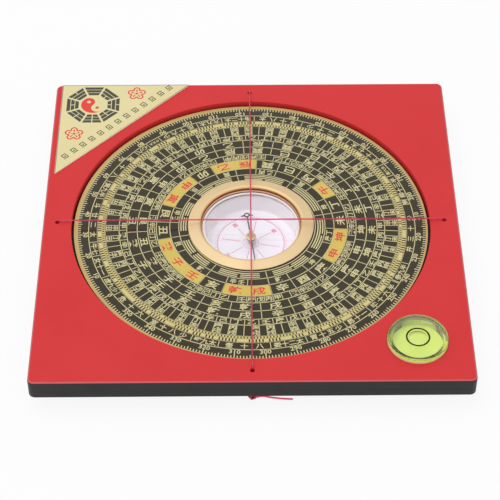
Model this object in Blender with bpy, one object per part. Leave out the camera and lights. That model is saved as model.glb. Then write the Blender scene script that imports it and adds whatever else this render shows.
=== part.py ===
"""Feng shui compass: a square lacquered board with a turning ring dial, a needle
capsule in its middle, two crossed red strings and a small round spirit level.

Metres, +Z up. The origin is on the ground under the middle of the board.
"""

import math

import bmesh
import bpy
from mathutils import Vector

MM = 0.001

# Board: a black base with a red panel glued on it
BOARD_SIDE = 143.0 * MM
BOARD_CORNER_RADIUS = 2.1 * MM
BOARD_EDGE_ROUND = 0.4 * MM
BOARD_FOOT_ROUND = 0.25 * MM
BASE_THICKNESS = 2.8 * MM
PANEL_THICKNESS = 4.35 * MM
PANEL_BORDER = 9.8 * MM

# Feet
FOOT_DIAMETER = 10.0 * MM
FOOT_HEIGHT = 5.5 * MM
FOOT_EDGE_INSET = 9.0 * MM
FOOT_EDGE_ROUND = 0.8 * MM

# Dial: a printed plate glued on a turntable
DIAL_SIDE_GAP = 0.75 * MM
DIAL_THICKNESS = 0.4 * MM
DIAL_OVERHANG = 0.4 * MM
TURNTABLE_THICKNESS = 1.8 * MM
WASHER_THICKNESS = 0.25 * MM
WASHER_SETBACK = 1.6 * MM
WASHER_WIDTH = 10.0 * MM

# Capsule: cup, card, glass, gasket and the brass bezel that holds them
CUP_DIAMETER = 36.0 * MM
CUP_RIM_WALL = 1.1 * MM
CUP_LEDGE_WIDTH = 0.9 * MM
CUP_FLOOR_THICKNESS = 1.0 * MM
CUP_DRAFT = 1.4 * MM
CUP_CORNER_ROUND = 1.6 * MM
CUP_GROUND_CLEARANCE = 0.9 * MM
CARD_SIDE_GAP = 0.2 * MM
CARD_THICKNESS = 0.2 * MM
GLASS_THICKNESS = 1.0 * MM
GLASS_DEPTH = 3.1 * MM
GASKET_THICKNESS = 0.3 * MM
BEZEL_FACE_WIDTH = 4.6 * MM
BEZEL_LAND_WIDTH = 0.9 * MM
BEZEL_HEIGHT = 1.1 * MM
BEZEL_EDGE_HEIGHT = 0.3 * MM
BEZEL_SKIRT_TAPER = 0.3 * MM
BEZEL_ROLL_START = 78.0
RING_THICKNESS = 0.8 * MM
RING_WIDTH = 2.4 * MM

# Needle and its pivot
PIN_DIAMETER = 0.7 * MM
PIN_TIP_LENGTH = 0.9 * MM
PIN_BASE_DIAMETER = 2.4 * MM
PIN_BASE_HEIGHT = 0.3 * MM
NEEDLE_HEIGHT = 2.1 * MM
NEEDLE_LENGTH = 24.0 * MM
NEEDLE_WIDTH = 0.45 * MM
NEEDLE_TIP_WIDTH = 0.25 * MM
NEEDLE_THICKNESS = 0.25 * MM
NEEDLE_HUB_DIAMETER = 3.2 * MM
NEEDLE_EYE_DIAMETER = 1.9 * MM
NEEDLE_EYE_BORE = 1.0 * MM
NEEDLE_EYE_SETBACK = 1.6 * MM
NEEDLE_HORN_SPAN = 3.6 * MM
NEEDLE_HORN_WIDTH = 0.9 * MM
NEEDLE_HORN_SWEEP = 0.3 * MM
NEEDLE_BEARING = math.radians(97.3)
CAP_DIAMETER = 3.5 * MM
CAP_HEIGHT = 3.3 * MM
CAP_RIM_HEIGHT = 0.35 * MM
CAP_SHOULDER_HEIGHT = 1.9 * MM
CAP_KNOB_DIAMETER = 1.5 * MM
CAP_STEM_DIAMETER = 1.8 * MM
CAP_STEM_LENGTH = 0.5 * MM
CAP_SOCKET_DIAMETER = 1.1 * MM
CAP_SOCKET_DEPTH = 1.0 * MM

# Round spirit level let into the front right corner
LEVEL_DIAMETER = 19.5 * MM
LEVEL_BODY_HEIGHT = 7.1 * MM
LEVEL_PROUD = 1.6 * MM
LEVEL_WALL = 1.55 * MM
LEVEL_FLOOR_THICKNESS = 0.9 * MM
LEVEL_RIGHT_INSET = 18.0 * MM
LEVEL_FRONT_INSET = 17.0 * MM
LENS_THICKNESS = 1.0 * MM
LENS_SEAT_WIDTH = 0.7 * MM
BUBBLE_DIAMETER = 6.2 * MM
BUBBLE_DEPTH = 1.1 * MM
BACKING_THICKNESS = 0.3 * MM

# Corner label
LABEL_THICKNESS = 0.4 * MM
LABEL_LEG_X = 47.2 * MM
LABEL_LEG_Y = 47.4 * MM
LABEL_SIDE_INSET = 2.2 * MM
LABEL_BACK_INSET = 0.6 * MM

# Strings, their holes and knots
STRING_DIAMETER = 0.5 * MM
STRING_LIFT = 0.75 * MM
STRING_BEND_RADIUS = 1.2 * MM
STRING_HOLE_DIAMETER = 1.5 * MM
STRING_HOLE_EDGE_INSET = 4.9 * MM
KNOT_DIAMETER = 2.6 * MM
KNOT_HEIGHT = 2.3 * MM
END_KNOT_DIAMETER = 2.6 * MM

# Gaps between separate pieces
GLUE_GAP = 0.05 * MM
SEAT_GAP = 0.1 * MM
RUN_GAP = 0.1 * MM
SIDE_RUN_GAP = 0.4 * MM
RING_RUN_GAP = 0.2 * MM
CUT_OVERRUN = 1.0 * MM
WELD_DISTANCE = 0.001 * MM

# Steps round each turned piece
DIAL_STEPS = 96
HUB_STEPS = 64
LEVEL_STEPS = 40
FOOT_STEPS = 32
SMALL_STEPS = 16
CORNER_STEPS = 6
SMOOTH_ANGLE = math.radians(35.0)

# Heights, from the ground up
BASE_BOTTOM = FOOT_HEIGHT
BASE_TOP = BASE_BOTTOM + BASE_THICKNESS
PANEL_BOTTOM = BASE_TOP + GLUE_GAP
PANEL_TOP = PANEL_BOTTOM + PANEL_THICKNESS
WASHER_BOTTOM = BASE_TOP + GLUE_GAP
WASHER_TOP = WASHER_BOTTOM + WASHER_THICKNESS
TURNTABLE_BOTTOM = WASHER_TOP + RUN_GAP
TURNTABLE_TOP = TURNTABLE_BOTTOM + TURNTABLE_THICKNESS
DIAL_BOTTOM = TURNTABLE_TOP + GLUE_GAP
DIAL_TOP = DIAL_BOTTOM + DIAL_THICKNESS
GLASS_TOP = PANEL_TOP - GLASS_DEPTH
GLASS_BOTTOM = GLASS_TOP - GLASS_THICKNESS
CUP_LEDGE = GLASS_BOTTOM - GLUE_GAP
GASKET_BOTTOM = GLASS_TOP + GLUE_GAP
GASKET_TOP = GASKET_BOTTOM + GASKET_THICKNESS
CUP_TOP = GASKET_TOP
SKIRT_BOTTOM = GASKET_TOP + GLUE_GAP
BEZEL_BOTTOM = DIAL_TOP + GLUE_GAP
CUP_BOTTOM = CUP_GROUND_CLEARANCE
CUP_FLOOR = CUP_BOTTOM + CUP_FLOOR_THICKNESS
CARD_BOTTOM = CUP_FLOOR + GLUE_GAP
CARD_TOP = CARD_BOTTOM + CARD_THICKNESS
PIN_BOTTOM = CARD_TOP + GLUE_GAP
NEEDLE_BOTTOM = CARD_TOP + NEEDLE_HEIGHT
NEEDLE_TOP = NEEDLE_BOTTOM + NEEDLE_THICKNESS
CAP_SEAT = NEEDLE_TOP + GLUE_GAP
CAP_TOP = CAP_SEAT + CAP_HEIGHT
CAP_BOTTOM = NEEDLE_BOTTOM - CAP_STEM_LENGTH
SOCKET_TOP = CAP_BOTTOM + CAP_SOCKET_DEPTH
PIN_TIP = SOCKET_TOP - SEAT_GAP
RING_TOP = BASE_BOTTOM - RING_RUN_GAP
RING_BOTTOM = RING_TOP - RING_THICKNESS
LEVEL_TOP = PANEL_TOP + LEVEL_PROUD
LEVEL_BOTTOM = LEVEL_TOP - LEVEL_BODY_HEIGHT
BACKING_TOP = LEVEL_BOTTOM - GLUE_GAP
BACKING_BOTTOM = BACKING_TOP - BACKING_THICKNESS
LEVEL_POCKET = BACKING_BOTTOM - GLUE_GAP
LENS_BOTTOM = LEVEL_TOP - LENS_THICKNESS
LEVEL_LEDGE = LENS_BOTTOM - GLUE_GAP
ACROSS_HEIGHT = PANEL_TOP + STRING_LIFT
ALONG_HEIGHT = ACROSS_HEIGHT + STRING_DIAMETER + SEAT_GAP
KNOT_TOP = BASE_BOTTOM - SEAT_GAP
KNOT_BOTTOM = KNOT_TOP - KNOT_HEIGHT

# Radii and places that follow from the sizes above
RECESS_RADIUS = BOARD_SIDE / 2 - PANEL_BORDER
DIAL_RADIUS = RECESS_RADIUS - DIAL_SIDE_GAP
TURNTABLE_RADIUS = DIAL_RADIUS - DIAL_OVERHANG
CUP_RADIUS = CUP_DIAMETER / 2
HUB_HOLE_RADIUS = CUP_RADIUS + SEAT_GAP
BASE_HOLE_RADIUS = CUP_RADIUS + SIDE_RUN_GAP
RIM_INNER_RADIUS = CUP_RADIUS - CUP_RIM_WALL
GLASS_RADIUS = RIM_INNER_RADIUS - SEAT_GAP
ROOM_TOP_RADIUS = RIM_INNER_RADIUS - CUP_LEDGE_WIDTH
ROOM_FLOOR_RADIUS = ROOM_TOP_RADIUS - CUP_DRAFT
CARD_RADIUS = ROOM_FLOOR_RADIUS - CARD_SIDE_GAP
BEZEL_BORE_RADIUS = CUP_RADIUS - BEZEL_LAND_WIDTH
BEZEL_RADIUS = BEZEL_BORE_RADIUS + BEZEL_FACE_WIDTH
RING_INNER_RADIUS = CUP_RADIUS + SEAT_GAP
WASHER_INNER_RADIUS = BASE_HOLE_RADIUS + WASHER_SETBACK
FOOT_OFFSET = BOARD_SIDE / 2 - FOOT_EDGE_INSET - FOOT_DIAMETER / 2
STRING_HOLE_OFFSET = BOARD_SIDE / 2 - STRING_HOLE_EDGE_INSET
LEVEL_RADIUS = LEVEL_DIAMETER / 2
LEVEL_ROOM_RADIUS = LEVEL_RADIUS - LEVEL_WALL
LENS_SEAT_RADIUS = LEVEL_ROOM_RADIUS + LENS_SEAT_WIDTH
LENS_RADIUS = LENS_SEAT_RADIUS - SEAT_GAP
LEVEL_CENTRE = (BOARD_SIDE / 2 - LEVEL_RIGHT_INSET, LEVEL_FRONT_INSET - BOARD_SIDE / 2)


def clear_scene():
    for thing in list(bpy.data.objects):
        bpy.data.objects.remove(thing, do_unlink=True)


def make_material(name, colour, roughness, metallic=0.0, alpha=1.0, transmission=0.0):
    material = bpy.data.materials.new(name)
    material.use_nodes = True
    shader = material.node_tree.nodes["Principled BSDF"]
    shader.inputs["Base Color"].default_value = (*colour, 1.0)
    shader.inputs["Roughness"].default_value = roughness
    shader.inputs["Metallic"].default_value = metallic
    shader.inputs["Alpha"].default_value = alpha
    shader.inputs["Transmission Weight"].default_value = transmission
    return material


def add_object(name, mesh, material, smooth=True):
    thing = bpy.data.objects.new(name, mesh)
    bpy.context.scene.collection.objects.link(thing)
    if material is not None:
        mesh.materials.append(material)
    if smooth:
        mesh.shade_smooth()
        mesh.set_sharp_from_angle(angle=SMOOTH_ANGLE)
    return thing


def mesh_from(bm, name):
    bmesh.ops.remove_doubles(bm, verts=bm.verts, dist=WELD_DISTANCE)
    bmesh.ops.recalc_face_normals(bm, faces=bm.faces)
    mesh = bpy.data.meshes.new(name)
    bm.to_mesh(mesh)
    bm.free()
    return mesh


def turned(name, outline, material, steps, centre=(0.0, 0.0)):
    """Turn an outline of (radius, height) points about a vertical axis at the centre."""
    bm = bmesh.new()
    verts = [bm.verts.new((radius, 0, height)) for radius, height in outline]
    edges = []
    for first, second in zip(verts, verts[1:] + verts[:1]):
        if first.co.x > 0 or second.co.x > 0:
            edges.append(bm.edges.new((first, second)))
    bmesh.ops.spin(
        bm,
        geom=verts + edges,
        cent=(0, 0, 0),
        axis=(0, 0, 1),
        angle=2 * math.pi,
        steps=steps,
        use_merge=True,
    )
    thing = add_object(name, mesh_from(bm, name), material)
    thing.location = (centre[0], centre[1], 0)
    return thing


def disc(name, radius, bottom, top, material, steps, centre=(0.0, 0.0)):
    outline = [(0, bottom), (radius, bottom), (radius, top), (0, top)]
    return turned(name, outline, material, steps, centre)


def washer(name, inner, outer, bottom, top, material, steps, centre=(0.0, 0.0)):
    outline = [(inner, bottom), (outer, bottom), (outer, top), (inner, top)]
    return turned(name, outline, material, steps, centre)


def prism(name, outline, bottom, top, material, smooth=True):
    """Extrude a flat outline of (x, y) points from one height to another."""
    bm = bmesh.new()
    face = bm.faces.new([bm.verts.new((x, y, bottom)) for x, y in outline])
    raised = bmesh.ops.extrude_face_region(bm, geom=[face])
    moved = [item for item in raised["geom"] if isinstance(item, bmesh.types.BMVert)]
    bmesh.ops.translate(bm, verts=moved, vec=(0, 0, top - bottom))
    return add_object(name, mesh_from(bm, name), material, smooth)


def rounded_square(side, radius, steps):
    """Corner points of a square outline with round corners, anticlockwise."""
    points = []
    reach = side / 2 - radius
    for quarter, (sx, sy) in enumerate(((1, 1), (-1, 1), (-1, -1), (1, -1))):
        for step in range(steps + 1):
            angle = (quarter + step / steps) * math.pi / 2
            x = sx * reach + radius * math.cos(angle)
            y = sy * reach + radius * math.sin(angle)
            points.append((x, y))
    return points


def round_rim(thing, height, width):
    """Round the outer edges of a flat piece that lie at one height."""
    bm = bmesh.new()
    bm.from_mesh(thing.data)
    rim = [
        edge
        for edge in bm.edges
        if all(abs(vert.co.z - height) < WELD_DISTANCE for vert in edge.verts)
    ]
    bmesh.ops.bevel(
        bm, geom=rim, offset=width, segments=2, profile=0.5, affect="EDGES"
    )
    bm.to_mesh(thing.data)
    bm.free()
    thing.data.shade_smooth()
    thing.data.set_sharp_from_angle(angle=SMOOTH_ANGLE)


def combine(thing, other, operation):
    """Add or cut another shape with an exact Boolean; the other shape is only a guide."""
    modifier = thing.modifiers.new(operation.lower(), "BOOLEAN")
    modifier.operation = operation
    modifier.solver = "EXACT"
    modifier.object = other
    other.hide_render = True
    other.display_type = "WIRE"


def cut_hole(thing, radius, bottom, top, steps, centre=(0.0, 0.0)):
    name = thing.name + "_cutter"
    cutter = disc(name, radius, bottom, top, None, steps, centre)
    combine(thing, cutter, "DIFFERENCE")


def string_hole_centres():
    reach = STRING_HOLE_OFFSET
    return {
        "left": (-reach, 0),
        "right": (reach, 0),
        "back": (0, reach),
        "front": (0, -reach),
    }


def make_board(paint):
    outline = rounded_square(BOARD_SIDE, BOARD_CORNER_RADIUS, CORNER_STEPS)

    base = prism("base_board", outline, BASE_BOTTOM, BASE_TOP, paint["black lacquer"])
    round_rim(base, BASE_BOTTOM, BOARD_FOOT_ROUND)
    below = BASE_BOTTOM - CUT_OVERRUN
    above = PANEL_TOP + CUT_OVERRUN
    cut_hole(base, BASE_HOLE_RADIUS, below, above, HUB_STEPS)
    level_hole_radius = LEVEL_RADIUS + SEAT_GAP
    cut_hole(base, level_hole_radius, LEVEL_POCKET, above, LEVEL_STEPS, LEVEL_CENTRE)

    panel = prism("top_panel", outline, PANEL_BOTTOM, PANEL_TOP, paint["red lacquer"])
    round_rim(panel, PANEL_TOP, BOARD_EDGE_ROUND)
    cut_hole(panel, RECESS_RADIUS, below, above, DIAL_STEPS)
    cut_hole(panel, level_hole_radius, below, above, LEVEL_STEPS, LEVEL_CENTRE)

    for centre in string_hole_centres().values():
        for board in (base, panel):
            radius = STRING_HOLE_DIAMETER / 2
            cut_hole(board, radius, below, above, SMALL_STEPS, centre)


def make_feet(paint):
    radius = FOOT_DIAMETER / 2
    top = BASE_BOTTOM - GLUE_GAP
    outline = [
        (0, 0),
        (radius - FOOT_EDGE_ROUND, 0),
        (radius, FOOT_EDGE_ROUND),
        (radius, top),
        (0, top),
    ]
    for row, y in (("front", -FOOT_OFFSET), ("back", FOOT_OFFSET)):
        for side, x in (("left", -FOOT_OFFSET), ("right", FOOT_OFFSET)):
            name = f"foot_{row}_{side}"
            turned(name, outline, paint["rubber"], FOOT_STEPS, (x, y))


def make_label(paint):
    left = -BOARD_SIDE / 2 + LABEL_SIDE_INSET
    back = BOARD_SIDE / 2 - LABEL_BACK_INSET
    outline = [(left, back), (left, back - LABEL_LEG_Y), (left + LABEL_LEG_X, back)]
    bottom = PANEL_TOP + GLUE_GAP
    top = bottom + LABEL_THICKNESS
    prism("corner_label", outline, bottom, top, paint["label"], smooth=False)


def make_dial(paint):
    washer(
        "thrust_washer",
        WASHER_INNER_RADIUS,
        WASHER_INNER_RADIUS + WASHER_WIDTH,
        WASHER_BOTTOM,
        WASHER_TOP,
        paint["nylon"],
        HUB_STEPS,
    )
    washer(
        "turntable_disc",
        HUB_HOLE_RADIUS,
        TURNTABLE_RADIUS,
        TURNTABLE_BOTTOM,
        TURNTABLE_TOP,
        paint["turntable"],
        DIAL_STEPS,
    )
    washer(
        "dial_plate",
        HUB_HOLE_RADIUS,
        DIAL_RADIUS,
        DIAL_BOTTOM,
        DIAL_TOP,
        paint["dial print"],
        DIAL_STEPS,
    )


def arc(centre, radius, start, end, steps):
    """Points of a circular arc in the plane of the outline, from one angle to another."""
    points = []
    for step in range(steps + 1):
        angle = math.radians(start + (end - start) * step / steps)
        r = centre[0] + radius * math.cos(angle)
        z = centre[1] + radius * math.sin(angle)
        points.append((r, z))
    return points


def bezel_outline():
    """A ring that rises slowly from its outer edge, rolls over and drops into the bore."""
    outer = BEZEL_RADIUS
    bore = BEZEL_BORE_RADIUS
    roll = BEZEL_HEIGHT
    edge_top = BEZEL_BOTTOM + BEZEL_EDGE_HEIGHT
    crest = arc((bore + roll, BEZEL_BOTTOM), roll, BEZEL_ROLL_START, 180, 6)
    return [
        (CUP_RADIUS, BEZEL_BOTTOM),
        (outer, BEZEL_BOTTOM),
        (outer, edge_top),
        (outer - BEZEL_EDGE_HEIGHT, edge_top + BEZEL_EDGE_HEIGHT / 2),
        *crest,
        (bore - BEZEL_SKIRT_TAPER, SKIRT_BOTTOM),
        (CUP_RADIUS, SKIRT_BOTTOM),
    ]


def cup_outline():
    """A round cup with a drafted inside, a ledge for the glass and a rim above it."""
    corner = (CUP_RADIUS - CUP_CORNER_ROUND, CUP_BOTTOM + CUP_CORNER_ROUND)
    return [
        (0, CUP_BOTTOM),
        *arc(corner, CUP_CORNER_ROUND, -90, 0, 4),
        (CUP_RADIUS, CUP_TOP),
        (RIM_INNER_RADIUS, CUP_TOP),
        (RIM_INNER_RADIUS, CUP_LEDGE),
        (ROOM_TOP_RADIUS, CUP_LEDGE),
        (ROOM_FLOOR_RADIUS, CUP_FLOOR),
        (0, CUP_FLOOR),
    ]


def make_capsule(paint):
    turned("capsule_cup", cup_outline(), paint["white plastic"], HUB_STEPS)
    disc("capsule_card", CARD_RADIUS, CARD_BOTTOM, CARD_TOP, paint["card"], HUB_STEPS)
    disc(
        "capsule_glass",
        GLASS_RADIUS,
        GLASS_BOTTOM,
        GLASS_TOP,
        paint["glass"],
        HUB_STEPS,
    )
    washer(
        "glass_gasket",
        ROOM_TOP_RADIUS,
        GLASS_RADIUS,
        GASKET_BOTTOM,
        GASKET_TOP,
        paint["gasket"],
        HUB_STEPS,
    )
    turned("bezel_ring", bezel_outline(), paint["brass"], HUB_STEPS)
    washer(
        "retaining_ring",
        RING_INNER_RADIUS,
        RING_INNER_RADIUS + RING_WIDTH,
        RING_BOTTOM,
        RING_TOP,
        paint["steel"],
        HUB_STEPS,
    )


def make_pivot(paint):
    radius = PIN_DIAMETER / 2
    outline = [
        (0, PIN_BOTTOM),
        (PIN_BASE_DIAMETER / 2, PIN_BOTTOM),
        (PIN_BASE_DIAMETER / 2, PIN_BOTTOM + PIN_BASE_HEIGHT),
        (radius, PIN_BOTTOM + PIN_BASE_HEIGHT),
        (radius, PIN_TIP - PIN_TIP_LENGTH),
        (0, PIN_TIP),
    ]
    turned("pivot_pin", outline, paint["steel"], SMALL_STEPS)


def flat_disc_outline(radius, centre_x, steps):
    return [
        (
            centre_x + radius * math.cos(2 * math.pi * step / steps),
            radius * math.sin(2 * math.pi * step / steps),
        )
        for step in range(steps)
    ]


def make_needle(paint):
    """A thin blade along +X before it is turned: eye and horns lead, the thin tip trails."""
    reach = NEEDLE_LENGTH / 2
    half = NEEDLE_WIDTH / 2
    tip = NEEDLE_TIP_WIDTH / 2
    eye_x = reach - NEEDLE_EYE_SETBACK
    strip = [
        (-reach, -tip),
        (0, -half),
        (eye_x, -half),
        (eye_x, half),
        (0, half),
        (-reach, tip),
    ]
    span = NEEDLE_HORN_SPAN / 2
    root = NEEDLE_HORN_WIDTH / 2
    horns = [
        (eye_x - NEEDLE_HORN_SWEEP, -span),
        (eye_x + root, 0),
        (eye_x - NEEDLE_HORN_SWEEP, span),
        (eye_x - root, 0),
    ]
    eye_outline = flat_disc_outline(NEEDLE_EYE_DIAMETER / 2, eye_x, SMALL_STEPS)
    hub_outline = flat_disc_outline(NEEDLE_HUB_DIAMETER / 2, 0, SMALL_STEPS)

    height = (NEEDLE_BOTTOM, NEEDLE_TOP)
    blade = prism("needle_blade", strip, *height, paint["needle"], smooth=False)
    for label, outline in (("horns", horns), ("eye", eye_outline), ("hub", hub_outline)):
        guide = prism("needle_" + label + "_guide", outline, *height, None, smooth=False)
        guide.rotation_euler.z = NEEDLE_BEARING
        combine(blade, guide, "UNION")
    blade.rotation_euler.z = NEEDLE_BEARING

    below = NEEDLE_BOTTOM - CUT_OVERRUN
    above = NEEDLE_TOP + CUT_OVERRUN
    eye_centre = (eye_x * math.cos(NEEDLE_BEARING), eye_x * math.sin(NEEDLE_BEARING))
    stem_hole = CAP_STEM_DIAMETER / 2 + SEAT_GAP
    cut_hole(blade, stem_hole, below, above, SMALL_STEPS)
    cut_hole(blade, NEEDLE_EYE_BORE / 2, below, above, SMALL_STEPS, eye_centre)

    turned("needle_cap", cap_outline(), paint["brass"], SMALL_STEPS)


def cap_outline():
    """A bell with a round knob on top, and a hollow stem for the pin below."""
    stem = CAP_STEM_DIAMETER / 2
    bell = CAP_DIAMETER / 2
    knob = CAP_KNOB_DIAMETER / 2
    socket = CAP_SOCKET_DIAMETER / 2
    rim = CAP_SEAT + CAP_RIM_HEIGHT
    rise = CAP_SHOULDER_HEIGHT - CAP_RIM_HEIGHT
    flare = []
    flare_steps = 5
    for step in range(flare_steps + 1):
        angle = math.pi / 2 * step / flare_steps
        radius = bell - (bell - knob) * math.sin(angle)
        flare.append((radius, rim + rise * (1 - math.cos(angle))))
    crown = arc((0, CAP_TOP - knob), knob, 0, 90, 4)
    crown[-1] = (0, CAP_TOP)
    return [
        (socket, CAP_BOTTOM),
        (stem, CAP_BOTTOM),
        (stem, CAP_SEAT),
        (bell, CAP_SEAT),
        *flare,
        *crown,
        (0, SOCKET_TOP),
    ]


def make_level(paint):
    body = [
        (0, LEVEL_BOTTOM),
        (LEVEL_RADIUS, LEVEL_BOTTOM),
        (LEVEL_RADIUS, LEVEL_TOP - SEAT_GAP),
        (LEVEL_RADIUS - SEAT_GAP, LEVEL_TOP),
        (LENS_SEAT_RADIUS, LEVEL_TOP),
        (LENS_SEAT_RADIUS, LEVEL_LEDGE),
        (LEVEL_ROOM_RADIUS, LEVEL_LEDGE),
        (LEVEL_ROOM_RADIUS, LEVEL_BOTTOM + LEVEL_FLOOR_THICKNESS),
        (0, LEVEL_BOTTOM + LEVEL_FLOOR_THICKNESS),
    ]
    turned("level_body", body, paint["acrylic"], LEVEL_STEPS, LEVEL_CENTRE)

    liquid_radius = LEVEL_ROOM_RADIUS - GLUE_GAP
    liquid_bottom = LEVEL_BOTTOM + LEVEL_FLOOR_THICKNESS + GLUE_GAP
    liquid_top = LEVEL_LEDGE
    bubble_radius = BUBBLE_DIAMETER / 2
    bubble = []
    bubble_steps = 4
    for step in range(bubble_steps + 1):
        share = step / bubble_steps
        depth = BUBBLE_DEPTH * (1 - (1 - share) ** 2)
        bubble.append((bubble_radius * (1 - share), liquid_top - depth))
    liquid = [
        (0, liquid_bottom),
        (liquid_radius, liquid_bottom),
        (liquid_radius, liquid_top),
        *bubble,
    ]
    turned("level_liquid", liquid, paint["liquid"], LEVEL_STEPS, LEVEL_CENTRE)

    disc(
        "level_lens",
        LENS_RADIUS,
        LENS_BOTTOM,
        LEVEL_TOP,
        paint["acrylic"],
        LEVEL_STEPS,
        LEVEL_CENTRE,
    )
    disc(
        "level_backing",
        LEVEL_RADIUS,
        BACKING_BOTTOM,
        BACKING_TOP,
        paint["backing"],
        LEVEL_STEPS,
        LEVEL_CENTRE,
    )


def tube(name, points, radius, material, factors=None):
    """A closed round tube along a list of points; factors swell it point by point."""
    curve = bpy.data.curves.new(name, "CURVE")
    curve.dimensions = "3D"
    curve.bevel_depth = radius
    curve.bevel_resolution = 2
    curve.use_fill_caps = True
    curve.materials.append(material)
    spline = curve.splines.new("POLY")
    spline.points.add(len(points) - 1)
    for index, (point, place) in enumerate(zip(spline.points, points)):
        point.co = (*place, 1.0)
        point.radius = factors[index] if factors else 1.0
    spline.use_smooth = True
    thing = bpy.data.objects.new(name, curve)
    bpy.context.scene.collection.objects.link(thing)
    return thing


def string_route(height):
    """Up one hole, round a small bend, straight over the dial and down the far hole."""
    bend = STRING_BEND_RADIUS
    reach = STRING_HOLE_OFFSET
    bend_steps = 4
    half = [(reach, BASE_BOTTOM + SEAT_GAP)]
    for step in range(bend_steps + 1):
        angle = math.pi / 2 * step / bend_steps
        along = reach - bend + bend * math.cos(angle)
        half.append((along, height - bend + bend * math.sin(angle)))
    return half + [(-along, z) for along, z in reversed(half)]


def make_strings(paint):
    across = [(along, 0, z) for along, z in string_route(ACROSS_HEIGHT)]
    tube("string_across", across, STRING_DIAMETER / 2, paint["string"])
    along = [(0, run, z) for run, z in string_route(ALONG_HEIGHT)]
    tube("string_along", along, STRING_DIAMETER / 2, paint["string"])

    rings = 6
    outline = []
    for ring in range(rings + 1):
        angle = -math.pi / 2 + math.pi * ring / rings
        radius = KNOT_DIAMETER / 2 * math.cos(angle)
        middle = (KNOT_TOP + KNOT_BOTTOM) / 2
        outline.append((radius, middle + KNOT_HEIGHT / 2 * math.sin(angle)))
    outline[0] = (0, KNOT_BOTTOM)
    outline[-1] = (0, KNOT_TOP)
    for side, centre in string_hole_centres().items():
        name = "knot_" + side
        turned(name, outline, paint["string"], SMALL_STEPS, centre)


def smooth_route(points, steps):
    """Points of a smooth curve through a list of points (Catmull-Rom)."""
    ends = [2 * points[0] - points[1], *points, 2 * points[-1] - points[-2]]
    route = []
    for index in range(1, len(ends) - 2):
        a, b, c, d = ends[index - 1 : index + 3]
        for step in range(steps):
            t = step / steps
            route.append(
                0.5
                * (
                    2 * b
                    + (c - a) * t
                    + (2 * a - 5 * b + 4 * c - d) * t**2
                    + (3 * b - a - 3 * c + d) * t**3
                )
            )
    route.append(points[-1])
    return route


def make_spare_end(paint):
    """Loose end under the front knot: it drops to the ground, has a knot and a short tail."""
    hole_y = -STRING_HOLE_OFFSET
    floor = STRING_DIAMETER / 2 + GLUE_GAP
    knot_height = END_KNOT_DIAMETER / 2 + GLUE_GAP
    # Steps of the route from the front hole: to the right, towards the back, height
    route = [
        Vector((0, hole_y, KNOT_BOTTOM - SEAT_GAP)),
        Vector((-0.3 * MM, hole_y - 0.1 * MM, KNOT_BOTTOM - 0.8 * MM)),
        Vector((-1.9 * MM, hole_y - 0.9 * MM, knot_height + 0.1 * MM)),
        Vector((-0.4 * MM, hole_y - 1.9 * MM, knot_height)),
        Vector((1.6 * MM, hole_y - 1.9 * MM, knot_height - 0.3 * MM)),
        Vector((3.9 * MM, hole_y - 1.2 * MM, floor)),
        Vector((6.9 * MM, hole_y - 1.3 * MM, floor)),
        Vector((10.0 * MM, hole_y - 1.9 * MM, floor)),
        Vector((12.8 * MM, hole_y - 1.7 * MM, floor)),
    ]
    points = smooth_route(route, 4)
    middle = route[3]
    reach = END_KNOT_DIAMETER / 2
    swell = END_KNOT_DIAMETER / STRING_DIAMETER
    factors = []
    for point in points:
        share = min((point - middle).length / reach, 1.0)
        factors.append(max(1.0, swell * math.sqrt(1.0 - share * share)))
    tube("spare_end", points, STRING_DIAMETER / 2, paint["string"], factors)


def make_paint():
    return {
        "black lacquer": make_material("black lacquer", (0.045, 0.042, 0.040), 0.45),
        "red lacquer": make_material("red lacquer", (0.694, 0.047, 0.050), 0.35),
        "rubber": make_material("rubber", (0.02, 0.02, 0.02), 0.8),
        "label": make_material("label", (0.775, 0.687, 0.352), 0.45),
        "dial print": make_material("dial print", (0.30, 0.26, 0.09), 0.35, 0.4),
        "turntable": make_material("turntable", (0.03, 0.03, 0.03), 0.5),
        "nylon": make_material("nylon", (0.8, 0.8, 0.78), 0.4),
        "white plastic": make_material("white plastic", (0.83, 0.80, 0.87), 0.3),
        "card": make_material("card", (0.83, 0.80, 0.87), 0.6),
        "glass": make_material("glass", (0.95, 0.98, 1.0), 0.02, 0.0, 0.3, 1.0),
        "gasket": make_material("gasket", (0.80, 0.72, 0.68), 0.5),
        "brass": make_material("brass", (0.75, 0.50, 0.22), 0.25, 1.0),
        "steel": make_material("steel", (0.55, 0.55, 0.56), 0.3, 1.0),
        "needle": make_material("needle", (0.04, 0.04, 0.05), 0.3, 0.8),
        "acrylic": make_material("acrylic", (0.93, 0.97, 0.90), 0.03, 0.0, 0.35, 1.0),
        "liquid": make_material("liquid", (0.50, 0.80, 0.12), 0.1, 0.0, 0.7, 0.4),
        "backing": make_material("backing", (0.70, 0.88, 0.25), 0.5),
        "string": make_material("string", (0.75, 0.03, 0.12), 0.4),
    }


def main():
    clear_scene()
    paint = make_paint()
    make_board(paint)
    make_feet(paint)
    make_label(paint)
    make_dial(paint)
    make_capsule(paint)
    make_pivot(paint)
    make_needle(paint)
    make_level(paint)
    make_strings(paint)
    make_spare_end(paint)


main()
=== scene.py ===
import math

import bmesh
import bpy
import numpy as np
from mathutils import Matrix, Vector
from mathutils.geometry import tessellate_polygon


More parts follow.
